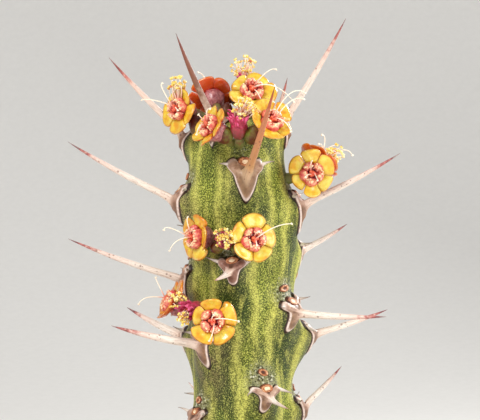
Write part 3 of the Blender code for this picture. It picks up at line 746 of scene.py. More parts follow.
def nectar_glands(material):
    """The plump yellow glands round every open head, fan shaped, with a fine crease between each two."""
    piece = Piece("nectar_glands")
    wide, deep = 18, 9
    for head in OPEN_HEADS:
        pattern = head.number % 3
        count = GLAND_COUNTS[pattern]
        same = random.Random(1 + pattern)
        reach = [same.uniform(0.90, 1.05) for _ in range(count)]
        ripe = RIPENESS.get(head.number, head.rng.uniform(0.0, 0.7))
        shift = [math.pi / count * head.rng.uniform(-0.17, 0.17) for _ in range(count)]
        for number in range(count):
            start = -math.pi / 2 + math.pi * (2 * number - 1) / count + shift[number]
            end = -math.pi / 2 + math.pi * (2 * number + 1) / count + shift[(number + 1) % count]
            middle, half = (start + end) / 2, (end - start) / 2 * head.rng.uniform(0.97, 0.995)
            outer = GLAND_OUTER * min(1.05, reach[number] * head.rng.uniform(0.94, 1.06))
            cup, fold = head.rng.uniform(0.0, 1.15), head.rng.uniform(-0.42, 0.42)
            plump, wave = head.rng.uniform(0.40, 0.55), head.rng.uniform(0, math.tau)
            crease = head.rng.uniform(-0.4, 0.4)
            for side in (1, -1):
                rings, rim = [], []
                for j in range(deep + 1):
                    t = j / deep
                    ring, ring_rim = [], []
                    for i in range(wide + 1):
                        s = math.sin((2 * i / wide - 1) * math.pi / 2)
                        shape = 0.75 + 0.25 * max(0.0, 1 - abs(s) ** 3.2) ** 0.55
                        shape *= 1 + 0.04 * math.sin(3 * s + wave)
                        out = GLAND_INNER + (outer - GLAND_INNER) * shape * t
                        full = max(0.0, 1 - abs(s) ** 5) ** 0.5
                        full *= max(0.0, math.sin(math.pi * t ** 0.8)) ** 0.5
                        base = -0.08 + cup * t * t + fold * s * t * t - 0.22 * s * s * t
                        base += 0.07 * t * math.sin(5 * s + 2 * wave)
                        hollow = 0.22 * math.exp(-(((s - crease) / 0.45) ** 2) - (((t - 0.55) / 0.28) ** 2))
                        z = base + ((plump - hollow) * full if side > 0 else -0.22 * full)
                        ring.append(head.around(middle + s * half, out, z))
                        ring_rim.append(1 - full)
                    rings.append(ring)
                    rim.append(ring_rim)
                piece.skin(rings, closed=False, rim=rim, under=[0.0 if side > 0 else 1.0] * (deep + 1),
                           ripe=[ripe + head.rng.uniform(-0.12, 0.12)] * (deep + 1))
    weld(piece)
    return piece.finish(material, "glands", *nodes_of(OPEN_HEADS, "glands"))


def weld(piece):
    """Makes points of the piece that lie together one point."""
    seen, index = {}, []
    points, kept = [], []
    for number, point in enumerate(piece.points):
        key = tuple(round(value / (0.002 * MM)) for value in point)
        if key not in seen:
            seen[key] = len(points)
            points.append(point)
            kept.append(number)
        index.append(seen[key])
    faces = []
    for face in piece.faces:
        ring = []
        for corner in (index[i] for i in face):
            if corner not in ring:
                ring.append(corner)
        if len(ring) > 2:
            faces.append(tuple(ring))
    piece.values = {label: [value[i] for i in kept] for label, value in piece.values.items()}
    piece.points, piece.faces = points, faces


def blob(piece, centre, axes, sizes, across=12, rows=8, wrinkle=0.0, seed=0.0, **span):
    """A closed round body with three half sizes. Each value runs from one number at -Z to one at +Z."""
    rings = []
    shares = [(row + 1) / (rows + 1) for row in range(rows)]
    for share in shares:
        wide, high = math.sin(math.pi * share), -math.cos(math.pi * share)
        ring = []
        for step in range(across):
            turn = math.tau * step / across
            local = Vector((wide * math.cos(turn), wide * math.sin(turn), high))
            local *= 1 + wrinkle * noise.noise(local * 1.7 + Vector((seed, 0, 0)))
            parts = (axis * size * part for axis, size, part in zip(axes, sizes, local))
            ring.append(centre + sum(parts, Vector()))
        rings.append(ring)
    poles = (centre - axes[2] * sizes[2], centre + axes[2] * sizes[2])
    values = {key: [a + (b - a) * share for share in shares] for key, (a, b) in span.items()}
    piece.skin(rings, poles, **values)


def cups_and_lobes(material):
    """Every open head's cup, the five plump lobes round its mouth, and the short column in the middle."""
    piece = Piece("heads_hearts")
    for head in OPEN_HEADS:
        rng = head.rng
        piece.skin(bell(head, OPEN_CUP, 0.04), (head.at(0, 0, -2.92), head.at(0, 0, 0.15)),
                   pale=[tone for out, z, tone in OPEN_CUP],
                   cup=[1.0 if z < -0.5 else 0.0 for out, z, tone in OPEN_CUP])
        first = rng.uniform(0, math.tau)
        for k in range(LOBES):
            angle = math.tau * (k + rng.uniform(-0.12, 0.12)) / LOBES + first
            out = Vector((math.cos(angle), math.sin(angle), 0))
            side = Vector((-math.sin(angle), math.cos(angle), 0))
            rise = Vector((0, 0, 1)) + out * rng.uniform(-0.35, 0.15) + side * rng.uniform(-0.2, 0.2)
            rise.normalize()
            flat = side.cross(rise).normalized()
            axes = [head.turn @ v for v in (flat.cross(rise), flat, rise)]
            size = rng.uniform(0.88, 1.15)
            blob(piece, head.at(*(out * 1.34 + Vector((0, 0, 0.5)))), axes,
                 (0.90 * size * MM, 0.62 * size * MM, 0.82 * size * MM), 18, 12, wrinkle=0.22,
                 seed=rng.uniform(0, 90), pale=(0.0, 0.92))
            for across in (-0.55, -0.15, 0.25, 0.6):
                knob = out * rng.uniform(1.1, 1.6) + side * across * size
                knob += rise * rng.uniform(0.72, 0.88) * size
                tall = rng.uniform(0.2, 0.34)
                blob(piece, head.at(*(knob + Vector((0, 0, 0.42 - 0.25 * abs(across))))), axes,
                     (0.21 * MM, 0.17 * MM, tall * MM), 8, 6, wrinkle=0.5, seed=rng.uniform(0, 90),
                     pale=(0.5, 1.1))
        axes = axes_of(head.turn)
        blob(piece, head.at(0, 0, 0.6), axes, (0.5 * MM, 0.5 * MM, 0.75 * MM), 12, 8, wrinkle=0.3,
             seed=rng.uniform(0, 90), pale=(0.0, 0.2), column=(1.0, 1.0))
        for k in range(STYLES):
            angle = math.tau * k / STYLES + rng.uniform(-0.3, 0.3)
            blob(piece, head.around(angle, 0.36, 1.1), axes, (0.27 * MM, 0.27 * MM, 0.36 * MM), 8, 6,
                 wrinkle=0.4, seed=rng.uniform(0, 90), pale=(0.0, 0.35), column=(1.0, 1.0))
    return piece.finish(material, "hearts", *nodes_of(OPEN_HEADS, "heart"))


def styles(material):
    """Three slender styles to an open head, bending away from its middle, each with a small forked knob."""
    piece = Piece("styles")
    up = Vector((0, 0, 1))
    for head in OPEN_HEADS:
        rng = head.rng
        ends = []
        for x, height in STYLE_ENDS.get(head.number, ()):
            flat = Vector((x * MM, head.centre.y, APEX + height * MM))
            ends.append(flat + Vector((0, head.facing.y, 0)) * rng.uniform(1.2, 2.2) * MM)
        first = rng.uniform(0, math.tau)
        while len(ends) < STYLES:
            angle = first + math.tau * len(ends) / STYLES + rng.uniform(-0.3, 0.3)
            ends.append(head.around(angle, rng.uniform(1.6, 2.6), rng.uniform(1.5, 2.1)))
        for number, end in enumerate(ends):
            root = head.around(math.tau * number / STYLES + first, 0.25, 0.9)
            reach = (end - root).length
            middle = root.lerp(end, 0.55) + head.facing * 0.35 * reach
            middle += (up * rng.uniform(0.1, 0.4) + head.facing.cross(up) * rng.uniform(-0.25, 0.25)) * reach
            path = bent(root, middle, end, 14)
            radii = [(0.1 - 0.035 * step / 14) * MM for step in range(15)]
            along = [min(1.0, step * reach / 14 / (1.3 * MM)) for step in range(15)]
            tube(piece, path, radii, 8, along=along)
            ahead = (path[-1] - path[-2]).normalized()
            side = ahead.orthogonal().normalized()
            for part in (-1, 1):
                blob(piece, end + side * part * 0.10 * MM, (side, ahead.cross(side), ahead),
                     (0.13 * MM, 0.12 * MM, 0.15 * MM), 8, 5, along=(1.0, 1.0))
    return piece.finish(material, "hearts", *nodes_of(OPEN_HEADS, "heart"))


def male_cups(material):
    """The narrow magenta cups of the male heads, with a ragged mouth of narrow, curling lobes."""
    piece = Piece("male_cups")
    for head in MALE_HEADS:
        rng = head.rng
        fresh = FADED.get(head.number, 1.0)
        piece.skin(bell(head, MALE_CUP, 0.06), (head.at(0, 0, -2.92), head.at(0, 0, 0.05)),
                   pink=[tone for out, z, tone in MALE_CUP])
        for k in range(MALE_LOBES):
            angle = math.tau * (k + rng.uniform(-0.4, 0.4)) / MALE_LOBES
            start = head.around(angle, rng.uniform(0.8, 1.15), -0.25)
            end = head.around(angle + rng.uniform(-0.5, 0.5), rng.uniform(0.6, 2.0) * fresh,
                              rng.uniform(0.5, 1.8))
            middle = start.lerp(end, 0.5) + head.facing * rng.uniform(0.2, 0.9) * MM
            middle += Vector([rng.uniform(-0.45, 0.45) * MM for _ in range(3)])
            path = bent(start, middle, end, 8)
            size = rng.uniform(0.8, 1.2)
            radii = [size * r * MM for r in (0.15, 0.17, 0.17, 0.16, 0.15, 0.14, 0.12, 0.09, 0.04)]
            first, last = rng.uniform(0.5, 0.7) * fresh, rng.uniform(0.85, 1.05) * fresh
            tube(piece, path, radii, 9, broad=rng.uniform(1.5, 2.6),
                 pink=[first + (last - first) * step / 8 for step in range(9)])
    return piece.finish(material, "males", *nodes_of(MALE_HEADS, "heart"))


def stalk_path(head):
    """From inside the bark to just under a head's cup, or None where no stalk shows."""
    foot = head.centre - head.facing * CUP_DEPTH * MM
    end = foot - head.facing * FIT_GAP
    aim = Vector((0, 0, min(foot.z - 2.5 * MM, APEX - 6 * MM)))
    for step in range(200):
        point = end.lerp(aim, step / 200)
        if inside_stem(point):
            break
    if (point - end).length < 0.25 * MM:
        return None
    root = point + (aim - point).normalized() * 1.2 * MM
    return bent(root, end - head.facing * 0.9 * MM, foot + head.facing * 0.1 * MM, 8)


def flower_stalks(material):
    """The short stalks, which narrow from the bark to the cup."""
    piece = Piece("flower_stalks")
    for head in HEADS:
        path = stalk_path(head)
        if path is None:
            continue
        radii = [r * MM for r in (1.0, 0.95, 0.86, 0.8, 0.76, 0.72, 0.68, 0.66, 0.64)]
        tube(piece, path, radii, 16, tip=False, along=[step / 8 for step in range(9)])
    return piece.finish(material, "stem", "stem")


# Bloom number to how far its bracts stand to the sides and down, and their half width, in millimetres,
# where they aren't the usual ones
BRACTS = {7: (2.35, 0.3, 1.45)}
USUAL_BRACTS = (1.55, 0.9, 1.0)
# Small scales on a spiral round the growing tip
TIP_SCALES = 14
# Larger buds at the growing tip: x, y and height of the middle above the tip, half width and half height
TIP_BUDS = ((-2.3, -3.4, 0.4, 1.15, 1.6), (-1.0, -5.4, -0.5, 1.05, 1.3), (-3.8, -4.9, -0.7, 0.95, 1.3),
            (2.6, 1.6, 0.3, 1.0, 1.3), (-1.2, 3.9, 0.0, 1.1, 1.4), (-4.4, -1.6, -0.2, 0.8, 1.1),
            (-6.9, -4.3, -1.7, 1.6, 1.7))


def bracts_and_buds(material):
    """Blunt green-brown bracts under each male head, and the small buds and scales round the growing tip."""
    piece = Piece("bracts_and_buds")
    for head in MALE_HEADS:
        rng = head.rng
        side = head.facing.cross(Vector((0, 0, 1))).normalized()
        down = side.cross(head.facing).normalized()
        if down.z > 0:
            down = -down
        away, lower, size = BRACTS.get(head.number, USUAL_BRACTS)
        for part in (-1, 1):
            centre = head.centre - head.facing * 2.2 * MM + (side * part * away + down * lower) * MM
            rise = (head.facing + down * 0.25 + side * part * 0.35).normalized()
            away_axis = (side * part - rise * rise.dot(side) * part).normalized()
            blob(piece, centre, (away_axis.cross(rise), rise, away_axis),
                 (0.95 * size * MM, 1.3 * size * MM, size * MM), 20, 14, wrinkle=0.10,
                 seed=rng.uniform(0, 50), tone=(-0.15, 1.6))
    for number, (x, y, height, half, tall) in enumerate(TIP_BUDS):
        rise = Vector((0.25 * x, 0.25 * y, 3)).normalized()
        east = rise.orthogonal().normalized()
        blob(piece, Vector((x * MM, y * MM, APEX + height * MM)), (east, rise.cross(east), rise),
             (half * MM, 0.9 * half * MM, tall * MM), 18, 12, wrinkle=0.25, seed=number * 3.1,
             tone=(0.0, 1.1))
    for number in range(TIP_SCALES):
        rng = random.Random(80 + number)
        out = 1.0 + 0.33 * number
        azimuth = SPIRAL_TURN * number
        depth = 6.5 - math.sqrt(max(0.0, 1 - (out / 7.1) ** 2)) * 7.3
        centre = heading(azimuth) * out * MM
        centre.z = APEX - (depth - 0.1) * MM
        rise = (heading(azimuth) * 0.15 * out + Vector((0, 0, 1))).normalized()
        east = rise.cross(heading(azimuth + 90)).normalized()
        size = rng.uniform(0.45, 0.8)
        blob(piece, centre, (east, rise.cross(east), rise),
             (size * 0.8 * MM, size * 1.0 * MM, size * 1.3 * MM), 14, 9, wrinkle=0.3,
             seed=rng.uniform(0, 50), tone=(0.2, 0.9))
    return piece.finish(material, "stem", "stem")


# ---------------------------------------------------------------- pot and soil


def wall_radius(height):
    """Inner radius of the pot at a height."""
    outer = POT_BASE_RADIUS + (POT_RIM_RADIUS - RIM_STEP - POT_BASE_RADIUS) * height / POT_HEIGHT
    return outer - POT_WALL


def turned(name, corners, sides, rounding):
    """A closed profile of (radius, height), its corners rounded, turned round Z with a Screw modifier."""
    mesh = bmesh.new()
    points = [mesh.verts.new((radius, 0, height)) for radius, height in corners]
    for a, b in zip(points, points[1:] + points[:1]):
        mesh.edges.new((a, b))
    bmesh.ops.bevel(mesh, geom=mesh.verts[:], offset=rounding, segments=4, affect="VERTICES", profile=0.5)
    data = bpy.data.meshes.new(name)
    mesh.to_mesh(data)
    mesh.free()
    thing = bpy.data.objects.new(name + "_profile", data)
    bpy.context.scene.collection.objects.link(thing)
    screw = thing.modifiers.new("turn", "SCREW")
    screw.steps = screw.render_steps = sides
    screw.use_merge_vertices = True
    screw.merge_threshold = 0.00001
    result = evaluated(thing)
    bpy.data.objects.remove(thing)
    return result


def evaluated(thing):
    """A plain mesh of the object with its modifiers applied."""
    bpy.context.view_layer.update()
    return bpy.data.meshes.new_from_object(thing.evaluated_get(bpy.context.evaluated_depsgraph_get()))


def clay_pot(material):
    """The pot, thrown and trimmed: a rim band, a plain wall, and a drain hole."""
    shoulder = POT_HEIGHT - POT_RIM_HEIGHT
    lip = POT_RIM_RADIUS

    def wall(height):
        """Outer radius of the pot below its rim band."""
        return wall_radius(height) + POT_WALL

    corners = [(lip, POT_HEIGHT), (lip - 0.7 * MM, shoulder + 1.0 * MM), (lip - 1.3 * MM, shoulder),
               (wall(shoulder), shoulder)]
    corners += [(wall(shoulder * share), shoulder * share) for share in (0.75, 0.5, 0.25)]
    corners += [(POT_BASE_RADIUS + 0.2 * MM, 1.2 * MM), (POT_BASE_RADIUS - 0.8 * MM, 0), (DRAIN_RADIUS, 0),
                (DRAIN_RADIUS, POT_FLOOR), (wall_radius(POT_FLOOR), POT_FLOOR)]
    corners += [(wall_radius(POT_HEIGHT * share), POT_HEIGHT * share) for share in (0.3, 0.6)]
    corners += [(wall_radius(POT_HEIGHT), POT_HEIGHT)]
    mesh = turned("clay_pot", corners, 144, rounding=0.55 * MM)
    for vertex in mesh.vertices:
        spot = vertex.co
        out = Vector((spot.x, spot.y, 0)).normalized()
        ring = math.sin(spot.z * 2300) * 0.5 + noise.noise(Vector((0, 0, spot.z * 900)))
        if spot.z > 0.3 * MM:
            vertex.co = spot + out * (0.05 * ring + 0.10 * noise.noise(spot * 60)) * MM
    return dressed("clay_pot", mesh, material, ["pot"])


# Lumps of the soil's top: noise frequency and height in millimetres, from broad to fine
SOIL_LUMPS = ((160, 0.5), (520, 0.35), (1300, 0.2))


def level_ring(radius, height, sides, lumps=()):
    """Points round Z at a height, raised by these lumps."""
    ring = []
    for step in range(sides):
        angle = math.tau * step / sides
        spot = Vector((radius * math.sin(angle), -radius * math.cos(angle), height))
        spot.z += sum(rise * noise.noise(spot * often) for often, rise in lumps) * MM
        ring.append(spot)
    return ring


def soil_bed(material):
    """The gritty soil, lumpy on top, with a hole for the stem's foot."""
    outer = wall_radius(SOIL_TOP) - FIT_GAP
    foot = SOIL_TOP - ROOT_DEPTH - FIT_GAP
    floor = POT_FLOOR + FIT_GAP
    steps = 44
    profile = [(0.001 * MM, foot), (ROOT_RADIUS + FIT_GAP, foot), (SOIL_HOLE, SOIL_TOP - 0.6 * MM)]
    profile += [(SOIL_HOLE + (outer - SOIL_HOLE) * step / steps, SOIL_TOP) for step in range(steps + 1)]
    profile += [(outer, SOIL_TOP - 0.8 * MM), (wall_radius(floor) - FIT_GAP, floor), (0.001 * MM, floor)]
    piece = Piece("soil_bed")
    rings = [level_ring(radius, height, 144, SOIL_LUMPS if height >= SOIL_TOP - 0.1 * MM else ())
             for radius, height in profile]
    piece.skin(rings, (Vector((0, 0, foot)), Vector((0, 0, floor))))
    return piece.finish(material, "soil", "soil")


def pebbles(material):
    """The larger stones of the top dressing, on a sunflower spiral, half sunk."""
    piece = Piece("pebbles")
    outer = wall_radius(SOIL_TOP) - FIT_GAP
    for number in range(PEBBLES):
        rng = random.Random(100 + number)
        share = (number + 0.5) / PEBBLES
        size = rng.uniform(1.1, 2.0) * MM
        out = SOIL_HOLE + 2.2 * MM + (outer - SOIL_HOLE - 4.6 * MM) * math.sqrt(share)
        place = heading(SPIRAL_TURN * number) * out
        place.z = SOIL_TOP + 0.15 * size
        turn = Quaternion(heading(rng.uniform(0, 360), rng.uniform(0, 90)), rng.uniform(0, 3))
        blob(piece, place, axes_of(turn), (size, 0.95 * size, 0.7 * size), 22, 14, wrinkle=0.3,
             seed=rng.uniform(0, 99))
    return piece.finish(material, "soil", "soil")


# ---------------------------------------------------------------- repeated small parts, by Geometry Nodes


def plug(tree, socket, value):
    """Links an output to the socket, or sets the socket's own value."""
    if isinstance(value, bpy.types.NodeSocket):
        tree.links.new(value, socket)
    else:
        socket.default_value = value


class NodeTree:
    """A node tree under construction."""

    def __init__(self, tree):
        """Takes the empty tree to build in."""
        self.tree = tree

    def node(self, kind, inputs=(), output=0, **settings):
        """Adds a node with its settings and inputs, and returns one of its outputs."""
        made = self.tree.nodes.new(kind)
        for key, value in settings.items():
            setattr(made, key, value)
        for key, value in dict(inputs).items():
            plug(self.tree, made.inputs[key], value)
        return made.outputs[output]


class Geometry(NodeTree):
    """A Geometry Nodes tree under construction. It ends in Realize Instances and Set Material."""

    def __init__(self, name, **sizes):
        """Starts a tree with one input for each named size, whose name has spaces for its underscores."""
        super().__init__(bpy.data.node_groups.new(name, "GeometryNodeTree"))
        self.inputs = {}
        self.socket("Geometry", "NodeSocketGeometry")
        self.tree.interface.new_socket("Geometry", in_out="OUTPUT", socket_type="NodeSocketGeometry")
        for label, value in sizes.items():
            kind = "NodeSocketInt" if isinstance(value, int) else "NodeSocketFloat"
            self.socket(label.replace("_", " "), kind, value)
        self.source = self.tree.nodes.new("NodeGroupInput")

    def socket(self, label, kind, value=None):
        """Adds an input to the tree, with the value that run gives it."""
        made = self.tree.interface.new_socket(label, in_out="INPUT", socket_type=kind)
        self.inputs[label] = (made.identifier, value)

    def given(self, label):
        """What comes in at one of the tree's inputs."""
        return self.source.outputs[label]

    def scatter(self, points, shape, size, spread, turn=None):
        """The shape at each point, in random sizes, turned at random or by a given rotation."""
        low = self.node("ShaderNodeMath", {0: size, 1: 1 - spread}, operation="MULTIPLY")
        high = self.node("ShaderNodeMath", {0: size, 1: 1 + spread}, operation="MULTIPLY")
        scale = self.node("FunctionNodeRandomValue", {2: low, 3: high, "Seed": self.given("Seed")}, output=1)
        if turn is None:
            turns = {0: (0, 0, 0), 1: (math.tau,) * 3, "Seed": self.given("Seed")}
            turn = self.node("FunctionNodeRandomValue", turns, data_type="FLOAT_VECTOR")
        return self.node("GeometryNodeInstanceOnPoints",
                         {"Points": points, "Instance": shape, "Rotation": turn, "Scale": scale})

    def aimed(self, shape, size, spread):
        """The shape at each point of the carrier, turned the way its aim says."""
        points = self.node("GeometryNodeMeshToPoints", {0: self.given("Geometry")})
        aim = self.node("GeometryNodeInputNamedAttribute", {"Name": "aim"}, data_type="FLOAT_VECTOR")
        turn = self.node("FunctionNodeAlignRotationToVector", {"Vector": aim}, axis="Z")
        return self.scatter(points, shape, self.given(size), spread, turn)

    def end(self, instances, material):
        """Makes the instances a plain mesh in that material, and puts it out."""
        real = self.node("GeometryNodeRealizeInstances", {0: instances})
        dressed_mesh = self.node("GeometryNodeSetMaterial", {0: real, "Material": material})
        result = self.tree.nodes.new("NodeGroupOutput")
        self.tree.links.new(dressed_mesh, result.inputs[0])

    def run(self, carrier):
        """Runs the tree on the carrier mesh and returns the plain mesh that comes out."""
        thing = bpy.data.objects.new(self.tree.name, carrier)
        bpy.context.scene.collection.objects.link(thing)
        modifier = thing.modifiers.new("nodes", "NODES")
        modifier.node_group = self.tree
        for identifier, value in self.inputs.values():
            if value is not None:
                modifier[identifier] = value
        result = evaluated(thing)
        bpy.data.objects.remove(thing)
        return result


def carrier_mesh(name, points, faces=(), normals=None):
    """A mesh for a tree to run on, with a normal at each point as its aim where they are given."""
    mesh = bpy.data.meshes.new(name)
    mesh.from_pydata([tuple(point) for point in points], [], list(faces))
    if normals:
        flat = [value for normal in normals for value in normal]
        mesh.attributes.new("aim", "FLOAT_VECTOR", "POINT").data.foreach_set("vector", flat)
    return mesh


def bunches():
    """For each anther: where its filament starts, where it ends, and the way it looks."""
    rows = []
    for head in HEADS:
        found = ANTHER_BUNCHES.get(head.number)
        if found is None and head.kind == OPEN:
            continue
        count, offset, half = found or (22, tuple(head.facing * 1.9), 1.4)
        middle = head.centre + Vector(offset) * MM
        rng = random.Random(1300 + head.number)
        for _ in range(count):
            while True:
                spot = Vector([rng.uniform(-1, 1) for _ in range(3)])
                if spot.length <= 1:
                    break
            end = middle + spot * half * MM
            start = head.around(rng.uniform(0, math.tau), rng.uniform(0, 0.8), 0.3)
            if (end - start).length < 0.9 * MM:
                end = start + head.facing * rng.uniform(0.9, 1.6) * MM
            rows.append((start, end, (end - start).normalized() + spot * 0.6))
    return rows


def anthers(material):
    """Pairs of round pollen sacs on the filaments' ends."""
    geometry = Geometry("anther_pairs", Sac_Size=0.21 * MM, Seed=11)
    sac = geometry.node("GeometryNodeMeshIcoSphere", {"Radius": 1.0, "Subdivisions": 2})
    sacs = []
    for side in (-1, 1):
        sacs.append(geometry.node("GeometryNodeTransform",
                                  {0: sac, "Translation": (side * 0.72, 0, 0), "Scale": (0.8, 0.9, 1.1)}))
    join = geometry.tree.nodes.new("GeometryNodeJoinGeometry")
    for part in reversed(sacs):
        geometry.tree.links.new(part, join.inputs[0])
    geometry.end(geometry.aimed(join.outputs[0], "Sac Size", 0.2), material)
    rows = bunches()
    mesh = geometry.run(carrier_mesh("anthers", [row[1] for row in rows], normals=[row[2] for row in rows]))
    return dressed("anthers", mesh, material, [])


def filaments(material):
    """The thin pale threads that carry the anthers."""
    piece = Piece("filaments")
    for number, (start, end, _) in enumerate(bunches()):
        rng = random.Random(40 + number)
        reach = (end - start).length
        middle = start.lerp(end, 0.5) + Vector([rng.uniform(-0.18, 0.18) * reach for _ in range(3)])
        tube(piece, bent(start, middle, end, 5), [0.085 * MM] * 6, 5, along=[k / 5 for k in range(6)])
    return piece.finish(material, "males")


def fringes(material):
    """The fine pale teeth between the glands and the lobes, and on the lobes' tops."""
    points, aims = [], []
    for head in OPEN_HEADS:
        for step in range(24):
            angle = math.tau * (step + head.rng.uniform(-0.4, 0.4)) / 24
            points.append(head.around(angle, head.rng.uniform(1.38, 1.75), head.rng.uniform(0.35, 0.6)))
            aims.append((head.around(angle, head.rng.uniform(1.0, 1.6), 3) - head.centre).normalized())
        for step in range(16):
            angle = math.tau * step / 16 + head.rng.uniform(-0.2, 0.2)
            out = head.rng.uniform(0.75, 1.5)
            points.append(head.around(angle, out, 1.2 - 0.5 * abs(out - 1.15)))
            aims.append((head.around(angle, out * 1.3, 3.2) - head.centre).normalized())
    geometry = Geometry("pale_teeth", Tooth_Length=0.34 * MM, Seed=5)
    tooth = geometry.node("GeometryNodeMeshCone", {"Vertices": 6, "Side Segments": 2, "Radius Top": 0.06,
                                                   "Radius Bottom": 0.26, "Depth": 1.0})
    geometry.end(geometry.aimed(tooth, "Tooth Length", 0.35), material)
    mesh = geometry.run(carrier_mesh("pale_fringes", points, normals=aims))
    return dressed("pale_fringes", mesh, material, [])


def grit(material):
    """Loose grains over the soil, from coarse sand to small chips."""
    hole = SOIL_HOLE + 0.3 * MM
    outer = wall_radius(SOIL_TOP) - 0.8 * MM
    steps, sides = 24, 96
    points, faces = [], []
    for ring in range(steps + 1):
        points += level_ring(hole + (outer - hole) * ring / steps, SOIL_TOP, sides, SOIL_LUMPS[:2])
    for near in range(0, steps * sides, sides):
        for step in range(sides):
            after = (step + 1) % sides
            faces.append((near + step, near + after, near + sides + after, near + sides + step))
    geometry = Geometry("loose_grit", Grain_Size=0.42 * MM, Grain_Density=1500000.0, Seed=3)
    grain = geometry.node("GeometryNodeMeshIcoSphere", {"Radius": 1.0, "Subdivisions": 1})
    squashed = geometry.node("GeometryNodeTransform", {0: grain, "Scale": (1.2, 0.95, 0.7)})
    spots = geometry.node("GeometryNodeDistributePointsOnFaces",
                          {"Mesh": geometry.given("Geometry"), "Density": geometry.given("Grain Density"),
                           "Seed": geometry.given("Seed")})
    geometry.end(geometry.scatter(spots, squashed, geometry.given("Grain Size"), 0.6), material)
    mesh = geometry.run(carrier_mesh("loose_grit", points, faces))
    return dressed("loose_grit", mesh, material, [], flat=True)


# ---------------------------------------------------------------- shading


def colour(code):
    """The linear colour of a #rrggbb code."""
    parts = [int(code[i:i + 2], 16) / 255 for i in (1, 3, 5)]
    return tuple(p / 12.92 if p <= 0.04045 else ((p + 0.055) / 1.055) ** 2.4 for p in parts) + (1.0,)


class Shading(NodeTree):
    """A shader tree under construction. Each call adds its nodes and returns the last one's output."""

    def place(self, stretch=(1, 1, 1)):
        """The piece's own coordinates in millimetres, stretched along its axes."""
        spot = self.node("ShaderNodeTexCoord", output="Object")
        return self.node("ShaderNodeMapping", {"Vector": spot, "Scale": tuple(1000 / s for s in stretch)})

    def value(self, name):
        """One of the piece's per-point values."""
        return self.node("ShaderNodeAttribute", output="Fac", attribute_name=name)

    def math(self, operation, a, b=0.0, c=0.0):
        """The result of a sum on up to three numbers."""
        return self.node("ShaderNodeMath", {0: a, 1: b, 2: c}, operation=operation)

    def span(self, value, low, high, start=0.0, end=1.0):
        """The value taken from between low and high to between start and end."""
        return self.node("ShaderNodeMapRange", {0: value, 1: low, 2: high, 3: start, 4: end})

    def times(self, a, b):
        """The product of two numbers."""
        return self.math("MULTIPLY", a, b)

    def mix(self, a, b, share):
        """The first colour with a share of the second over it, each an output or #rrggbb."""
        a, b = (colour(value) if isinstance(value, str) else value for value in (a, b))
        return self.node("ShaderNodeMix", {0: share, 6: a, 7: b}, output=2, data_type="RGBA")

    def noise(self, place, size, detail=3.0, roughness=0.55):
        """Soft noise whose lumps are about size millimetres."""
        return self.node("ShaderNodeTexNoise", {"Vector": place, "Scale": 1 / size, "Detail": detail,
                                                "Roughness": roughness})

    def ramp(self, value, *stops):
        """Colours at shares from 0 to 1, given as (share, #rrggbb)."""
        made = self.tree.nodes.new("ShaderNodeValToRGB")
        bar = made.color_ramp
        for number, (share, code) in enumerate(stops):
            stop = bar.elements[number] if number < 2 else bar.elements.new(share)
            stop.position, stop.color = share, colour(code)
        plug(self.tree, made.inputs[0], value)
        return made.outputs[0]

    def shared(self, group, **inputs):
        """One of the shared groups, with its inputs set by name."""
        made = self.tree.nodes.new("ShaderNodeGroup")
        made.node_tree = group
        for key, value in inputs.items():
            plug(self.tree, made.inputs[key], value)
        return made.outputs[0]

    def mottle(self, place, size, contrast):
        """The shared soft patches, about size millimetres across."""
        return self.shared(MOTTLE, Place=place, Size=size, Contrast=contrast)

    def relief(self, place, coarse, fine, share):
        """The shared height: lumps of one size, and a share of grains of another, in millimetres."""
        return self.shared(RELIEF, Place=place, Coarse=coarse, Fine=fine, Share=share)

    def speckles(self, place, spacing, size):
        """The shared dots, spacing millimetres apart, each as big as size says from 0 to 1."""
        return self.shared(SPECKLES, Place=place, Spacing=spacing, Size=size)

    def varied(self, value, mottle, amount):
        """The value, raised and lowered by the mottle."""
        return self.math("MULTIPLY_ADD", self.math("SUBTRACT", mottle, 0.5), amount, value)

    def tinted(self, base, code, mask, strength):
        """The colours with another over them, as strongly as the mask times the strength."""
        return self.mix(base, code, self.times(mask, strength))


def shared_group(name, inputs, outputs):
    """An empty shared group with named inputs, (name, value or None for a vector), and named outputs."""
    tree = bpy.data.node_groups.new(name, "ShaderNodeTree")
    for label, value in inputs:
        kind = "NodeSocketVector" if value is None else "NodeSocketFloat"
        made = tree.interface.new_socket(label, in_out="INPUT", socket_type=kind)
        if value is not None:
            made.default_value = value
    for label in outputs:
        tree.interface.new_socket(label, in_out="OUTPUT", socket_type="NodeSocketFloat")
    source, result = tree.nodes.new("NodeGroupInput"), tree.nodes.new("NodeGroupOutput")
    return Shading(tree), source.outputs, result.inputs


def speckle_group():
    """Round dots of uneven size: Spacing in millimetres between them, and Size from 0 to 1 of the room."""
    inputs = (("Place", None), ("Spacing", 1.0), ("Size", 0.3))
    shading, given, result = shared_group("speckles", inputs, ("Mask",))
    scale = shading.math("DIVIDE", 1.0, given["Spacing"])
    cells = shading.tree.nodes.new("ShaderNodeTexVoronoi")
    plug(shading.tree, cells.inputs["Vector"], given["Place"])
    plug(shading.tree, cells.inputs["Scale"], scale)
    chance = shading.node("ShaderNodeSeparateColor", {0: cells.outputs["Color"]})
    reach = shading.math("MULTIPLY", given["Size"], shading.math("MULTIPLY_ADD", chance, 1.4, 0.3))
    edge = shading.math("SUBTRACT", reach, cells.outputs["Distance"])
    mask = shading.span(shading.math("DIVIDE", edge, given["Size"]), -0.15, 0.35)
    plug(shading.tree, result["Mask"], mask)
    return shading.tree


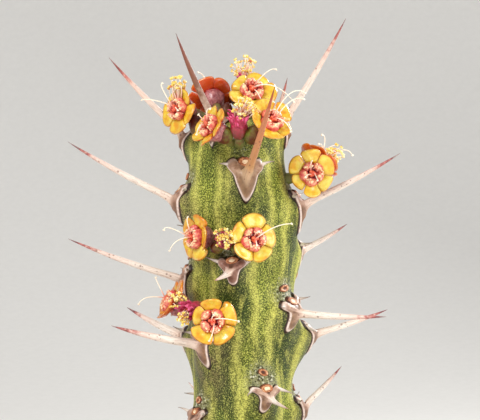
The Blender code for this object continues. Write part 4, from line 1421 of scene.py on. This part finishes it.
def mottle_group():
    """Soft, uneven patches about Size millimetres across, from 0 to 1, with a Contrast of 1 or more."""
    inputs = (("Place", None), ("Size", 3.0), ("Contrast", 1.0))
    shading, given, result = shared_group("mottle", inputs, ("Mask",))
    scale = shading.math("DIVIDE", 1.0, given["Size"])
    lumps = shading.node("ShaderNodeTexNoise", {"Vector": given["Place"], "Scale": scale, "Detail": 4.0,
                                                "Roughness": 0.6})
    centred = shading.math("MULTIPLY", shading.math("SUBTRACT", lumps, 0.5), given["Contrast"])
    mask = shading.span(shading.math("MULTIPLY_ADD", centred, 2.4, 0.5), 0.0, 1.0)
    plug(shading.tree, result["Mask"], mask)
    return shading.tree


def relief_group():
    """A height of two sizes: soft lumps, Coarse millimetres across, under grains of Fine millimetres."""
    inputs = (("Place", None), ("Coarse", 1.0), ("Fine", 0.2), ("Share", 0.5))
    shading, given, result = shared_group("two_scale_relief", inputs, ("Height",))
    coarse = shading.node("ShaderNodeTexNoise", {"Vector": given["Place"], "Detail": 2.0,
                                                 "Scale": shading.math("DIVIDE", 1.0, given["Coarse"])})
    fine = shading.node("ShaderNodeTexVoronoi", {"Vector": given["Place"],
                                                 "Scale": shading.math("DIVIDE", 1.0, given["Fine"])},
                        feature="SMOOTH_F1")
    grain = shading.math("SUBTRACT", 1.0, fine)
    height = shading.node("ShaderNodeMix", {0: given["Share"], 2: coarse, 3: grain})
    plug(shading.tree, result["Height"], height)
    return shading.tree


SPECKLES, MOTTLE, RELIEF = speckle_group(), mottle_group(), relief_group()


def finish_of(shading, base, roughness, height=None, bump=0.3, depth=0.1, **constants):
    """Sets a material's Principled surface. The bump's depth is in millimetres."""
    surface = shading.tree.nodes.new("ShaderNodeBsdfPrincipled")
    plug(shading.tree, surface.inputs["Base Color"], base)
    plug(shading.tree, surface.inputs["Roughness"], roughness)
    for key, value in constants.items():
        surface.inputs[key.replace("_", " ")].default_value = value
    if height is not None:
        relief = shading.node("ShaderNodeBump", {"Height": height, "Strength": bump, "Distance": depth * MM})
        shading.tree.links.new(relief, surface.inputs["Normal"])
    output = shading.tree.nodes.new("ShaderNodeOutputMaterial")
    shading.tree.links.new(surface.outputs[0], output.inputs["Surface"])


def painted(build):
    """A material with the name of the function that builds its surface."""
    material = bpy.data.materials.new(build.__name__)
    material.use_nodes = True
    material.node_tree.nodes.clear()
    build(Shading(material.node_tree))
    return material


def stem_green(s):
    """Olive skin with pale streaks, fine dark and pale grains, a grey bloom above the shields, and cork."""
    place = s.place()
    broad = s.mottle(s.place((1.6, 1.6, 5.0)), 2.4, 1.9)
    small = s.mottle(place, 0.8, 1.3)
    run = s.noise(s.place((1.0, 1.0, 7.0)), 1.3, detail=1.0)
    faint = s.times(s.span(run, 0.54, 0.68), 0.55)
    streak = s.math("MAXIMUM", faint, s.times(s.value("streak"), s.span(small, 0.0, 1.0, 0.6, 1.0)))
    zones = s.mottle(s.place((1.0, 1.0, 1.7)), 5.0, 1.8)
    # near darkens the skin with painted shade round each shield
    light = s.math("MULTIPLY_ADD", broad, 0.66, s.math("MULTIPLY_ADD", s.value("near"), -0.5, 0.03))
    light = s.math("MULTIPLY_ADD", zones, 0.42, light)
    # Darker lower down the stem: partly older skin, partly painted shade where the light falls off
    light = s.math("SUBTRACT", light, s.span(s.value("depth"), 16.0, 34.0, 0.0, 0.14))
    base = s.mix("#26370a", "#9ba237", light)
    base = s.tinted(base, "#5c7720", small, 0.32)
    base = s.tinted(base, "#d0cc62", streak, 0.88)
    grain = s.noise(place, 0.19, detail=1.5, roughness=0.6)
    dark = s.times(s.span(grain, 0.54, 0.42), s.span(streak, 0.0, 1.0, 0.9, 0.45))
    base = s.mix(base, "#202804", dark)
    # Fewer pale grains in the painted shade near the shields
    pale = s.times(s.span(grain, 0.57, 0.67), s.span(s.value("near"), 0.0, 1.0, 0.68, 0.42))
    base = s.mix(base, "#d9d672", pale)
    halo = s.times(s.value("halo"), s.span(small, 0.0, 1.0, 0.6, 1.0))
    rough_skin = s.mix("#8c8d66", "#171b07", s.span(s.noise(place, 0.36, detail=1.0), 0.48, 0.57))
    specks = s.speckles(place, 0.48, 0.27)
    rough_skin = s.tinted(rough_skin, "#e0dfc4", specks, 0.9)
    base = s.mix(base, rough_skin, s.span(halo, 0.12, 0.55, 0.0, 0.9))
    cork = s.mottle(place, 2.2, 1.4)
    age = s.span(s.math("ADD", s.value("depth"), s.times(cork, 9.0)), 64.0, 82.0)
    base = s.mix(base, s.mix("#6b5a43", "#9a8767", small), age)
    bark = s.mix("#43351c", "#93805a", s.span(grain, 0.4, 0.6))
    worn = s.times(s.value("worn"), s.span(cork, 0.1, 0.7, 0.35, 1.0))
    base = s.mix(base, bark, s.times(worn, 0.85))
    height = s.relief(place, 0.9, 0.26, 0.5)
    height = s.math("ADD", height, s.times(halo, s.times(specks, 0.6)))
    roughness = s.span(small, 0.0, 1.0, 0.48, 0.62)
    finish_of(s, base, roughness, height, bump=0.5, depth=0.06, Specular_IOR_Level=0.24,
              Coat_Weight=0.04, Coat_Roughness=0.3)


def pale_horn(s):
    """Horny shields, brown on the tongue and paler on the ears, inside a pale rim, with painted shadow at the
    foot and painted shade in the notch; spines that turn from cream to dark red; and fine brown flecks."""
    place = s.place()
    along, edge, young = s.value("along"), s.value("edge"), s.value("young")
    mottle = s.mottle(place, 0.8, 1.5)
    uneven = s.varied(along, mottle, 0.14)
    tongue = s.mix("#5c3f2a", "#8a6848", mottle)
    ears = s.mix("#8f6c58", "#c5a38c", mottle)
    plate = s.mix(tongue, ears, s.span(s.value("north"), -0.55, 0.45))
    shaded = s.mix("#6b4034", "#8d6253", mottle)
    plate = s.mix(plate, shaded, s.times(s.value("shade"), 0.8))
    # Painted shade in the notch between the ears, over some of the notch's own brown
    plate = s.mix(plate, "#5a3a29", s.span(s.value("north"), 0.82, 0.95))
    spine = s.ramp(s.span(uneven, -0.2, 1.0), (0.0, "#c3a38f"), (0.15, "#e2ccbb"), (1.0, "#9a8580"),
                   (0.5, "#f0e3d5"), (0.76, "#e6cabb"), (0.86, "#b56a63"), (0.94, "#6d222b"))
    base = s.mix(plate, spine, s.span(along, s.math("MULTIPLY_ADD", s.value("shade"), 0.3, -0.66), -0.08))
    base = s.mix(base, "#370a12", s.times(s.value("ruddy"), s.span(uneven, 0.12, 0.42)))
    fresh = s.ramp(s.span(uneven, -0.2, 1.0), (0.0, "#94784a"), (0.2, "#ad772f"), (0.72, "#b5622a"),
                   (0.9, "#ab4c28"), (1.0, "#863a24"))
    base = s.mix(base, fresh, s.times(young, s.span(along, -0.5, 0.12, 0.3, 0.9)))
    rim = s.times(s.span(edge, 0.1, 0.45), s.math("SUBTRACT", 1.0, s.span(edge, 0.62, 0.9)))
    base = s.mix(base, "#ead7cb", s.times(rim, s.span(s.value("north"), 0.5, 0.9, 0.85, 0.1)))
    # Painted shadow round the shield's foot, where it meets the bark
    base = s.mix(base, "#26170c", s.span(edge, 0.72, 0.95))
    base = s.tinted(base, "#6d4434", s.speckles(place, 0.7, 0.17), 0.65)
    base = s.tinted(base, "#54443a", s.value("dry"), 0.85)
    round_spine = s.node("ShaderNodeCombineXYZ", {0: s.value("east"), 1: s.value("north"),
                                                  2: s.times(s.value("reach"), 0.16)})
    fibres = s.noise(round_spine, 0.22, detail=3.0)
    base = s.mix(base, s.mix(base, "#805a4a", 0.5), s.span(fibres, 0.5, 0.72))
    grain = s.relief(place, 0.7, 0.16, 0.35)
    height = s.math("ADD", s.times(grain, 0.6), s.times(fibres, 0.6))
    finish_of(s, base, s.span(mottle, 0.0, 1.0, 0.38, 0.55), height, bump=0.4, depth=0.05,
              Specular_IOR_Level=0.4, Coat_Weight=0.1, Coat_Roughness=0.3)


def scar_brown(s):
    """Corky scars: orange-brown with a paler middle."""
    place = s.place()
    mottle = s.mottle(place, 0.35, 1.5)
    base = s.ramp(s.varied(s.value("scar"), mottle, 0.5),
                  (0.0, "#43210f"), (0.3, "#8f4c2a"), (1.0, "#ecd9b4"), (0.6, "#c08050"))
    height = s.relief(place, 0.4, 0.12, 0.5)
    finish_of(s, base, 0.6, height, bump=0.6, depth=0.06)


def gland_yellow(s):
    """Waxy glands, lemon to golden, orange where they are thin and orange red beneath."""
    place = s.place()
    mottle = s.mottle(place, 1.3, 1.5)
    share = s.varied(s.value("ripe"), mottle, 0.75)
    base = s.ramp(share, (0.0, "#e3d05a"), (0.4, "#dab42c"), (1.0, "#c9740f"), (0.75, "#d39518"))
    base = s.mix(base, "#cb650c", s.times(s.math("POWER", s.value("rim"), 2.0), 0.75))
    base = s.tinted(base, "#cb4416", s.value("under"), 0.94)
    base = s.tinted(base, "#a85a1a", s.speckles(place, 0.6, 0.10), 0.5)
    height = s.relief(place, 0.6, 0.13, 0.3)
    finish_of(s, base, s.span(mottle, 0.0, 1.0, 0.22, 0.36), height, bump=0.35, depth=0.05,
              Coat_Weight=0.5, Coat_Roughness=0.14)


def lobe_red(s):
    """Plump lobes, pink red below and cream at their tips, an orange-red column, and a dull red cup."""
    place = s.place()
    mottle = s.mottle(place, 0.45, 1.6)
    pale = s.varied(s.value("pale"), mottle, 0.45)
    base = s.ramp(pale, (0.0, "#99192a"), (0.40, "#cd4649"), (1.0, "#f6deb2"), (0.68, "#dd7762"),
                  (0.86, "#ecaf82"))
    base = s.mix(base, s.mix("#d5402c", "#ec7a4f", mottle), s.value("column"))
    base = s.mix(base, s.mix("#83383e", "#bf7d7a", mottle), s.value("cup"))
    height = s.relief(place, 0.35, 0.12, 0.4)
    finish_of(s, base, 0.36, height, bump=0.5, depth=0.05, Coat_Weight=0.25, Coat_Roughness=0.2)


def thread_cream(s):
    """Styles and filaments: cream, reddish where they start."""
    mottle = s.mottle(s.place(), 0.5, 1.0)
    cream = s.mix("#f7eedc", "#efdcbd", mottle)
    base = s.mix("#d9604a", cream, s.span(s.value("along"), 0.1, 0.9))
    height = s.relief(s.place(), 0.4, 0.1, 0.4)
    finish_of(s, base, 0.42, height, bump=0.3, depth=0.02)


def tooth_cream(s):
    """The fringe's teeth, cream with a blush."""
    mottle = s.mottle(s.place(), 0.4, 1.6)
    base = s.mix("#f5dfc3", "#e69a8c", mottle)
    height = s.relief(s.place(), 0.3, 0.1, 0.5)
    finish_of(s, base, 0.45, height, bump=0.3, depth=0.02)


def cup_magenta(s):
    """The male heads' cups and lobes, dull wine below and magenta pink above."""
    mottle = s.mottle(s.place(), 0.5, 1.4)
    pink = s.varied(s.value("pink"), mottle, 0.4)
    base = s.ramp(pink, (0.0, "#7d4236"), (0.45, "#a33040"), (1.0, "#dc5c88"), (0.75, "#c0385b"))
    height = s.relief(s.place(), 0.4, 0.13, 0.4)
    finish_of(s, base, 0.42, height, bump=0.4, depth=0.04, Coat_Weight=0.15, Coat_Roughness=0.25)


def pollen_yellow(s):
    """Anthers, cream to pollen yellow with a few reddish ones."""
    mottle = s.mottle(s.place(), 0.8, 1.8)
    base = s.ramp(mottle, (0.0, "#f8ecb8"), (0.45, "#f2da70"), (1.0, "#c06a4a"), (0.8, "#e0b84a"))
    height = s.relief(s.place(), 0.2, 0.07, 0.6)
    finish_of(s, base, 0.6, height, bump=0.5, depth=0.02)


def stalk_green(s):
    """Stalks, olive with a wine tint towards the head."""
    mottle = s.mottle(s.place(), 0.7, 1.4)
    base = s.mix("#6f7a38", "#8c3f3b", s.times(mottle, s.value("along")))
    height = s.relief(s.place(), 0.5, 0.16, 0.4)
    finish_of(s, base, 0.5, height, bump=0.4, depth=0.04)


def bract_brown(s):
    """Blunt bracts and buds, olive below and brown red at the tip."""
    mottle = s.mottle(s.place(), 0.6, 1.4)
    tone = s.varied(s.value("tone"), mottle, 0.5)
    base = s.ramp(tone, (0.0, "#6f7a26"), (0.4, "#68501f"), (1.0, "#4f1911"), (0.7, "#5e2e15"))
    height = s.relief(s.place(), 0.5, 0.15, 0.4)
    finish_of(s, base, 0.45, height, bump=0.4, depth=0.05, Specular_IOR_Level=0.35)


def soil_brown(s):
    """Peaty soil with grains of sand in it."""
    place = s.place()
    mottle = s.mottle(place, 1.6, 1.6)
    base = s.mix("#2f231a", "#57422f", mottle)
    base = s.tinted(base, "#a89272", s.speckles(place, 0.8, 0.25), 0.6)
    height = s.relief(place, 1.1, 0.35, 0.6)
    finish_of(s, base, 0.95, height, bump=0.9, depth=0.35)


def grit_stone(s):
    """Grit and stones: grey, buff and a little rust, from stone to stone."""
    place = s.place()
    which = s.mottle(place, 2.1, 2.2)
    base = s.ramp(which, (0.0, "#5d554a"), (0.35, "#938570"), (1.0, "#8e5f43"), (0.6, "#b7a88e"),
                  (0.8, "#6e655c"))
    base = s.tinted(base, "#e0d8c8", s.speckles(place, 0.4, 0.2), 0.35)
    height = s.relief(place, 0.6, 0.18, 0.5)
    finish_of(s, base, 0.8, height, bump=0.6, depth=0.08)


def fired_clay(s):
    """Terracotta with turning marks, pits, pale grains, and lime bloom, mostly near the foot and the rim."""
    place = s.place()
    broad = s.mottle(place, 14.0, 1.2)
    fine = s.mottle(place, 1.1, 1.3)
    base = s.mix("#a3542f", "#c27a4e", broad)
    base = s.tinted(base, "#b36a42", fine, 0.5)
    level = s.node("ShaderNodeSeparateXYZ", {0: place}, output=2)
    bands = s.math("MAXIMUM", s.span(level, 16.0, 2.0), s.span(level, 30.0, 43.0))
    bloom = s.mottle(s.place((0.9, 0.9, 1.5)), 6.0, 1.5)
    bloom = s.times(s.span(bloom, 0.35, 1.0), s.span(fine, 0.1, 1.0, 0.3, 0.8))
    base = s.mix(base, "#d3ab8d", s.times(bloom, s.span(bands, 0.0, 1.0, 0.35, 0.9)))
    pits = s.speckles(place, 1.7, 0.12)
    base = s.tinted(base, "#6d3520", pits, 0.6)
    base = s.tinted(base, "#e6cdb4", s.speckles(place, 0.9, 0.12), 0.45)
    rings = s.relief(s.place((30.0, 30.0, 1.0)), 1.4, 0.5, 0.2)
    grain = s.relief(place, 0.8, 0.25, 0.6)
    height = s.math("ADD", s.times(rings, 0.5), s.times(grain, 0.5))
    height = s.math("SUBTRACT", height, s.times(pits, 0.6))
    finish_of(s, base, s.span(fine, 0.0, 1.0, 0.75, 0.92), height, bump=0.5, depth=0.12)


# ---------------------------------------------------------------- studio


def floor_paper(s):
    """Pale paper, faintly mottled."""
    finish_of(s, s.mix("#e6e4e0", "#eceae6", s.mottle(s.place(), 4.0, 0.6)), 0.9)


# Lamps: name, place and width in metres, and power in watts
LAMPS = (("key", (-0.45, -0.55, 0.62), 0.34, 6.2), ("fill", (0.6, -0.5, 0.25), 0.5, 4.1),
         ("rim", (0.42, 0.42, 0.45), 0.25, 5.0))
AIR_LIGHT = 0.45
CAMERA_PLACE = (-0.3 * MM, -0.3, APEX - 15 * MM)
FOCAL_LENGTH = 140.6


def studio():
    """A pale floor that rises into a backdrop, three soft lamps, and a level camera."""
    profile = [(-1.6, 0.0), (0.7, 0.0)]
    profile += [(0.7 + 0.5 * math.sin(a), 0.5 - 0.5 * math.cos(a)) for a in np.linspace(0.1, math.pi / 2, 12)]
    profile += [(1.2, 1.8)]
    mesh = bpy.data.meshes.new("studio_sweep")
    points = [(side * 2.0, y, z) for y, z in profile for side in (-1, 1)]
    faces = [(2 * i, 2 * i + 1, 2 * i + 3, 2 * i + 2) for i in range(len(profile) - 1)]
    mesh.from_pydata(points, [], faces)
    mesh.materials.append(painted(floor_paper))
    mesh.shade_smooth()
    sweep = bpy.data.objects.new("studio_sweep", mesh)
    bpy.context.scene.collection.objects.link(sweep)

    middle = Vector((0, 0, APEX - 20 * MM))
    for name, spot, size, power in LAMPS:
        lamp = bpy.data.lights.new(name, "AREA")
        lamp.size, lamp.energy = size, power
        thing = bpy.data.objects.new(name, lamp)
        thing.location = spot
        thing.rotation_euler = (middle - Vector(spot)).to_track_quat("-Z", "Y").to_euler()
        bpy.context.scene.collection.objects.link(thing)
    world = bpy.data.worlds.new("studio_air")
    world.use_nodes = True
    world.node_tree.nodes["Background"].inputs[0].default_value = (1, 1, 1, 1)
    world.node_tree.nodes["Background"].inputs[1].default_value = AIR_LIGHT
    bpy.context.scene.world = world
    bpy.context.scene.view_settings.view_transform = "Standard"

    lens = bpy.data.cameras.new("camera")
    lens.sensor_width, lens.lens = 36.0, FOCAL_LENGTH
    lens.clip_start = 0.01
    camera = bpy.data.objects.new("camera", lens)
    camera.location = CAMERA_PLACE
    camera.rotation_euler = (math.radians(90), 0, 0)
    bpy.context.scene.collection.objects.link(camera)
    bpy.context.scene.camera = camera


horn, thread, stones = painted(pale_horn), painted(thread_cream), painted(grit_stone)
stem_skin(painted(stem_green))
shields_and_spines(horn)
prickles(horn)
scars(painted(scar_brown))
flower_stalks(painted(stalk_green))
bracts_and_buds(painted(bract_brown))
nectar_glands(painted(gland_yellow))
cups_and_lobes(painted(lobe_red))
fringes(painted(tooth_cream))
styles(thread)
male_cups(painted(cup_magenta))
filaments(thread)
anthers(painted(pollen_yellow))
clay_pot(painted(fired_clay))
soil_bed(painted(soil_brown))
pebbles(stones)
grit(stones)
studio()
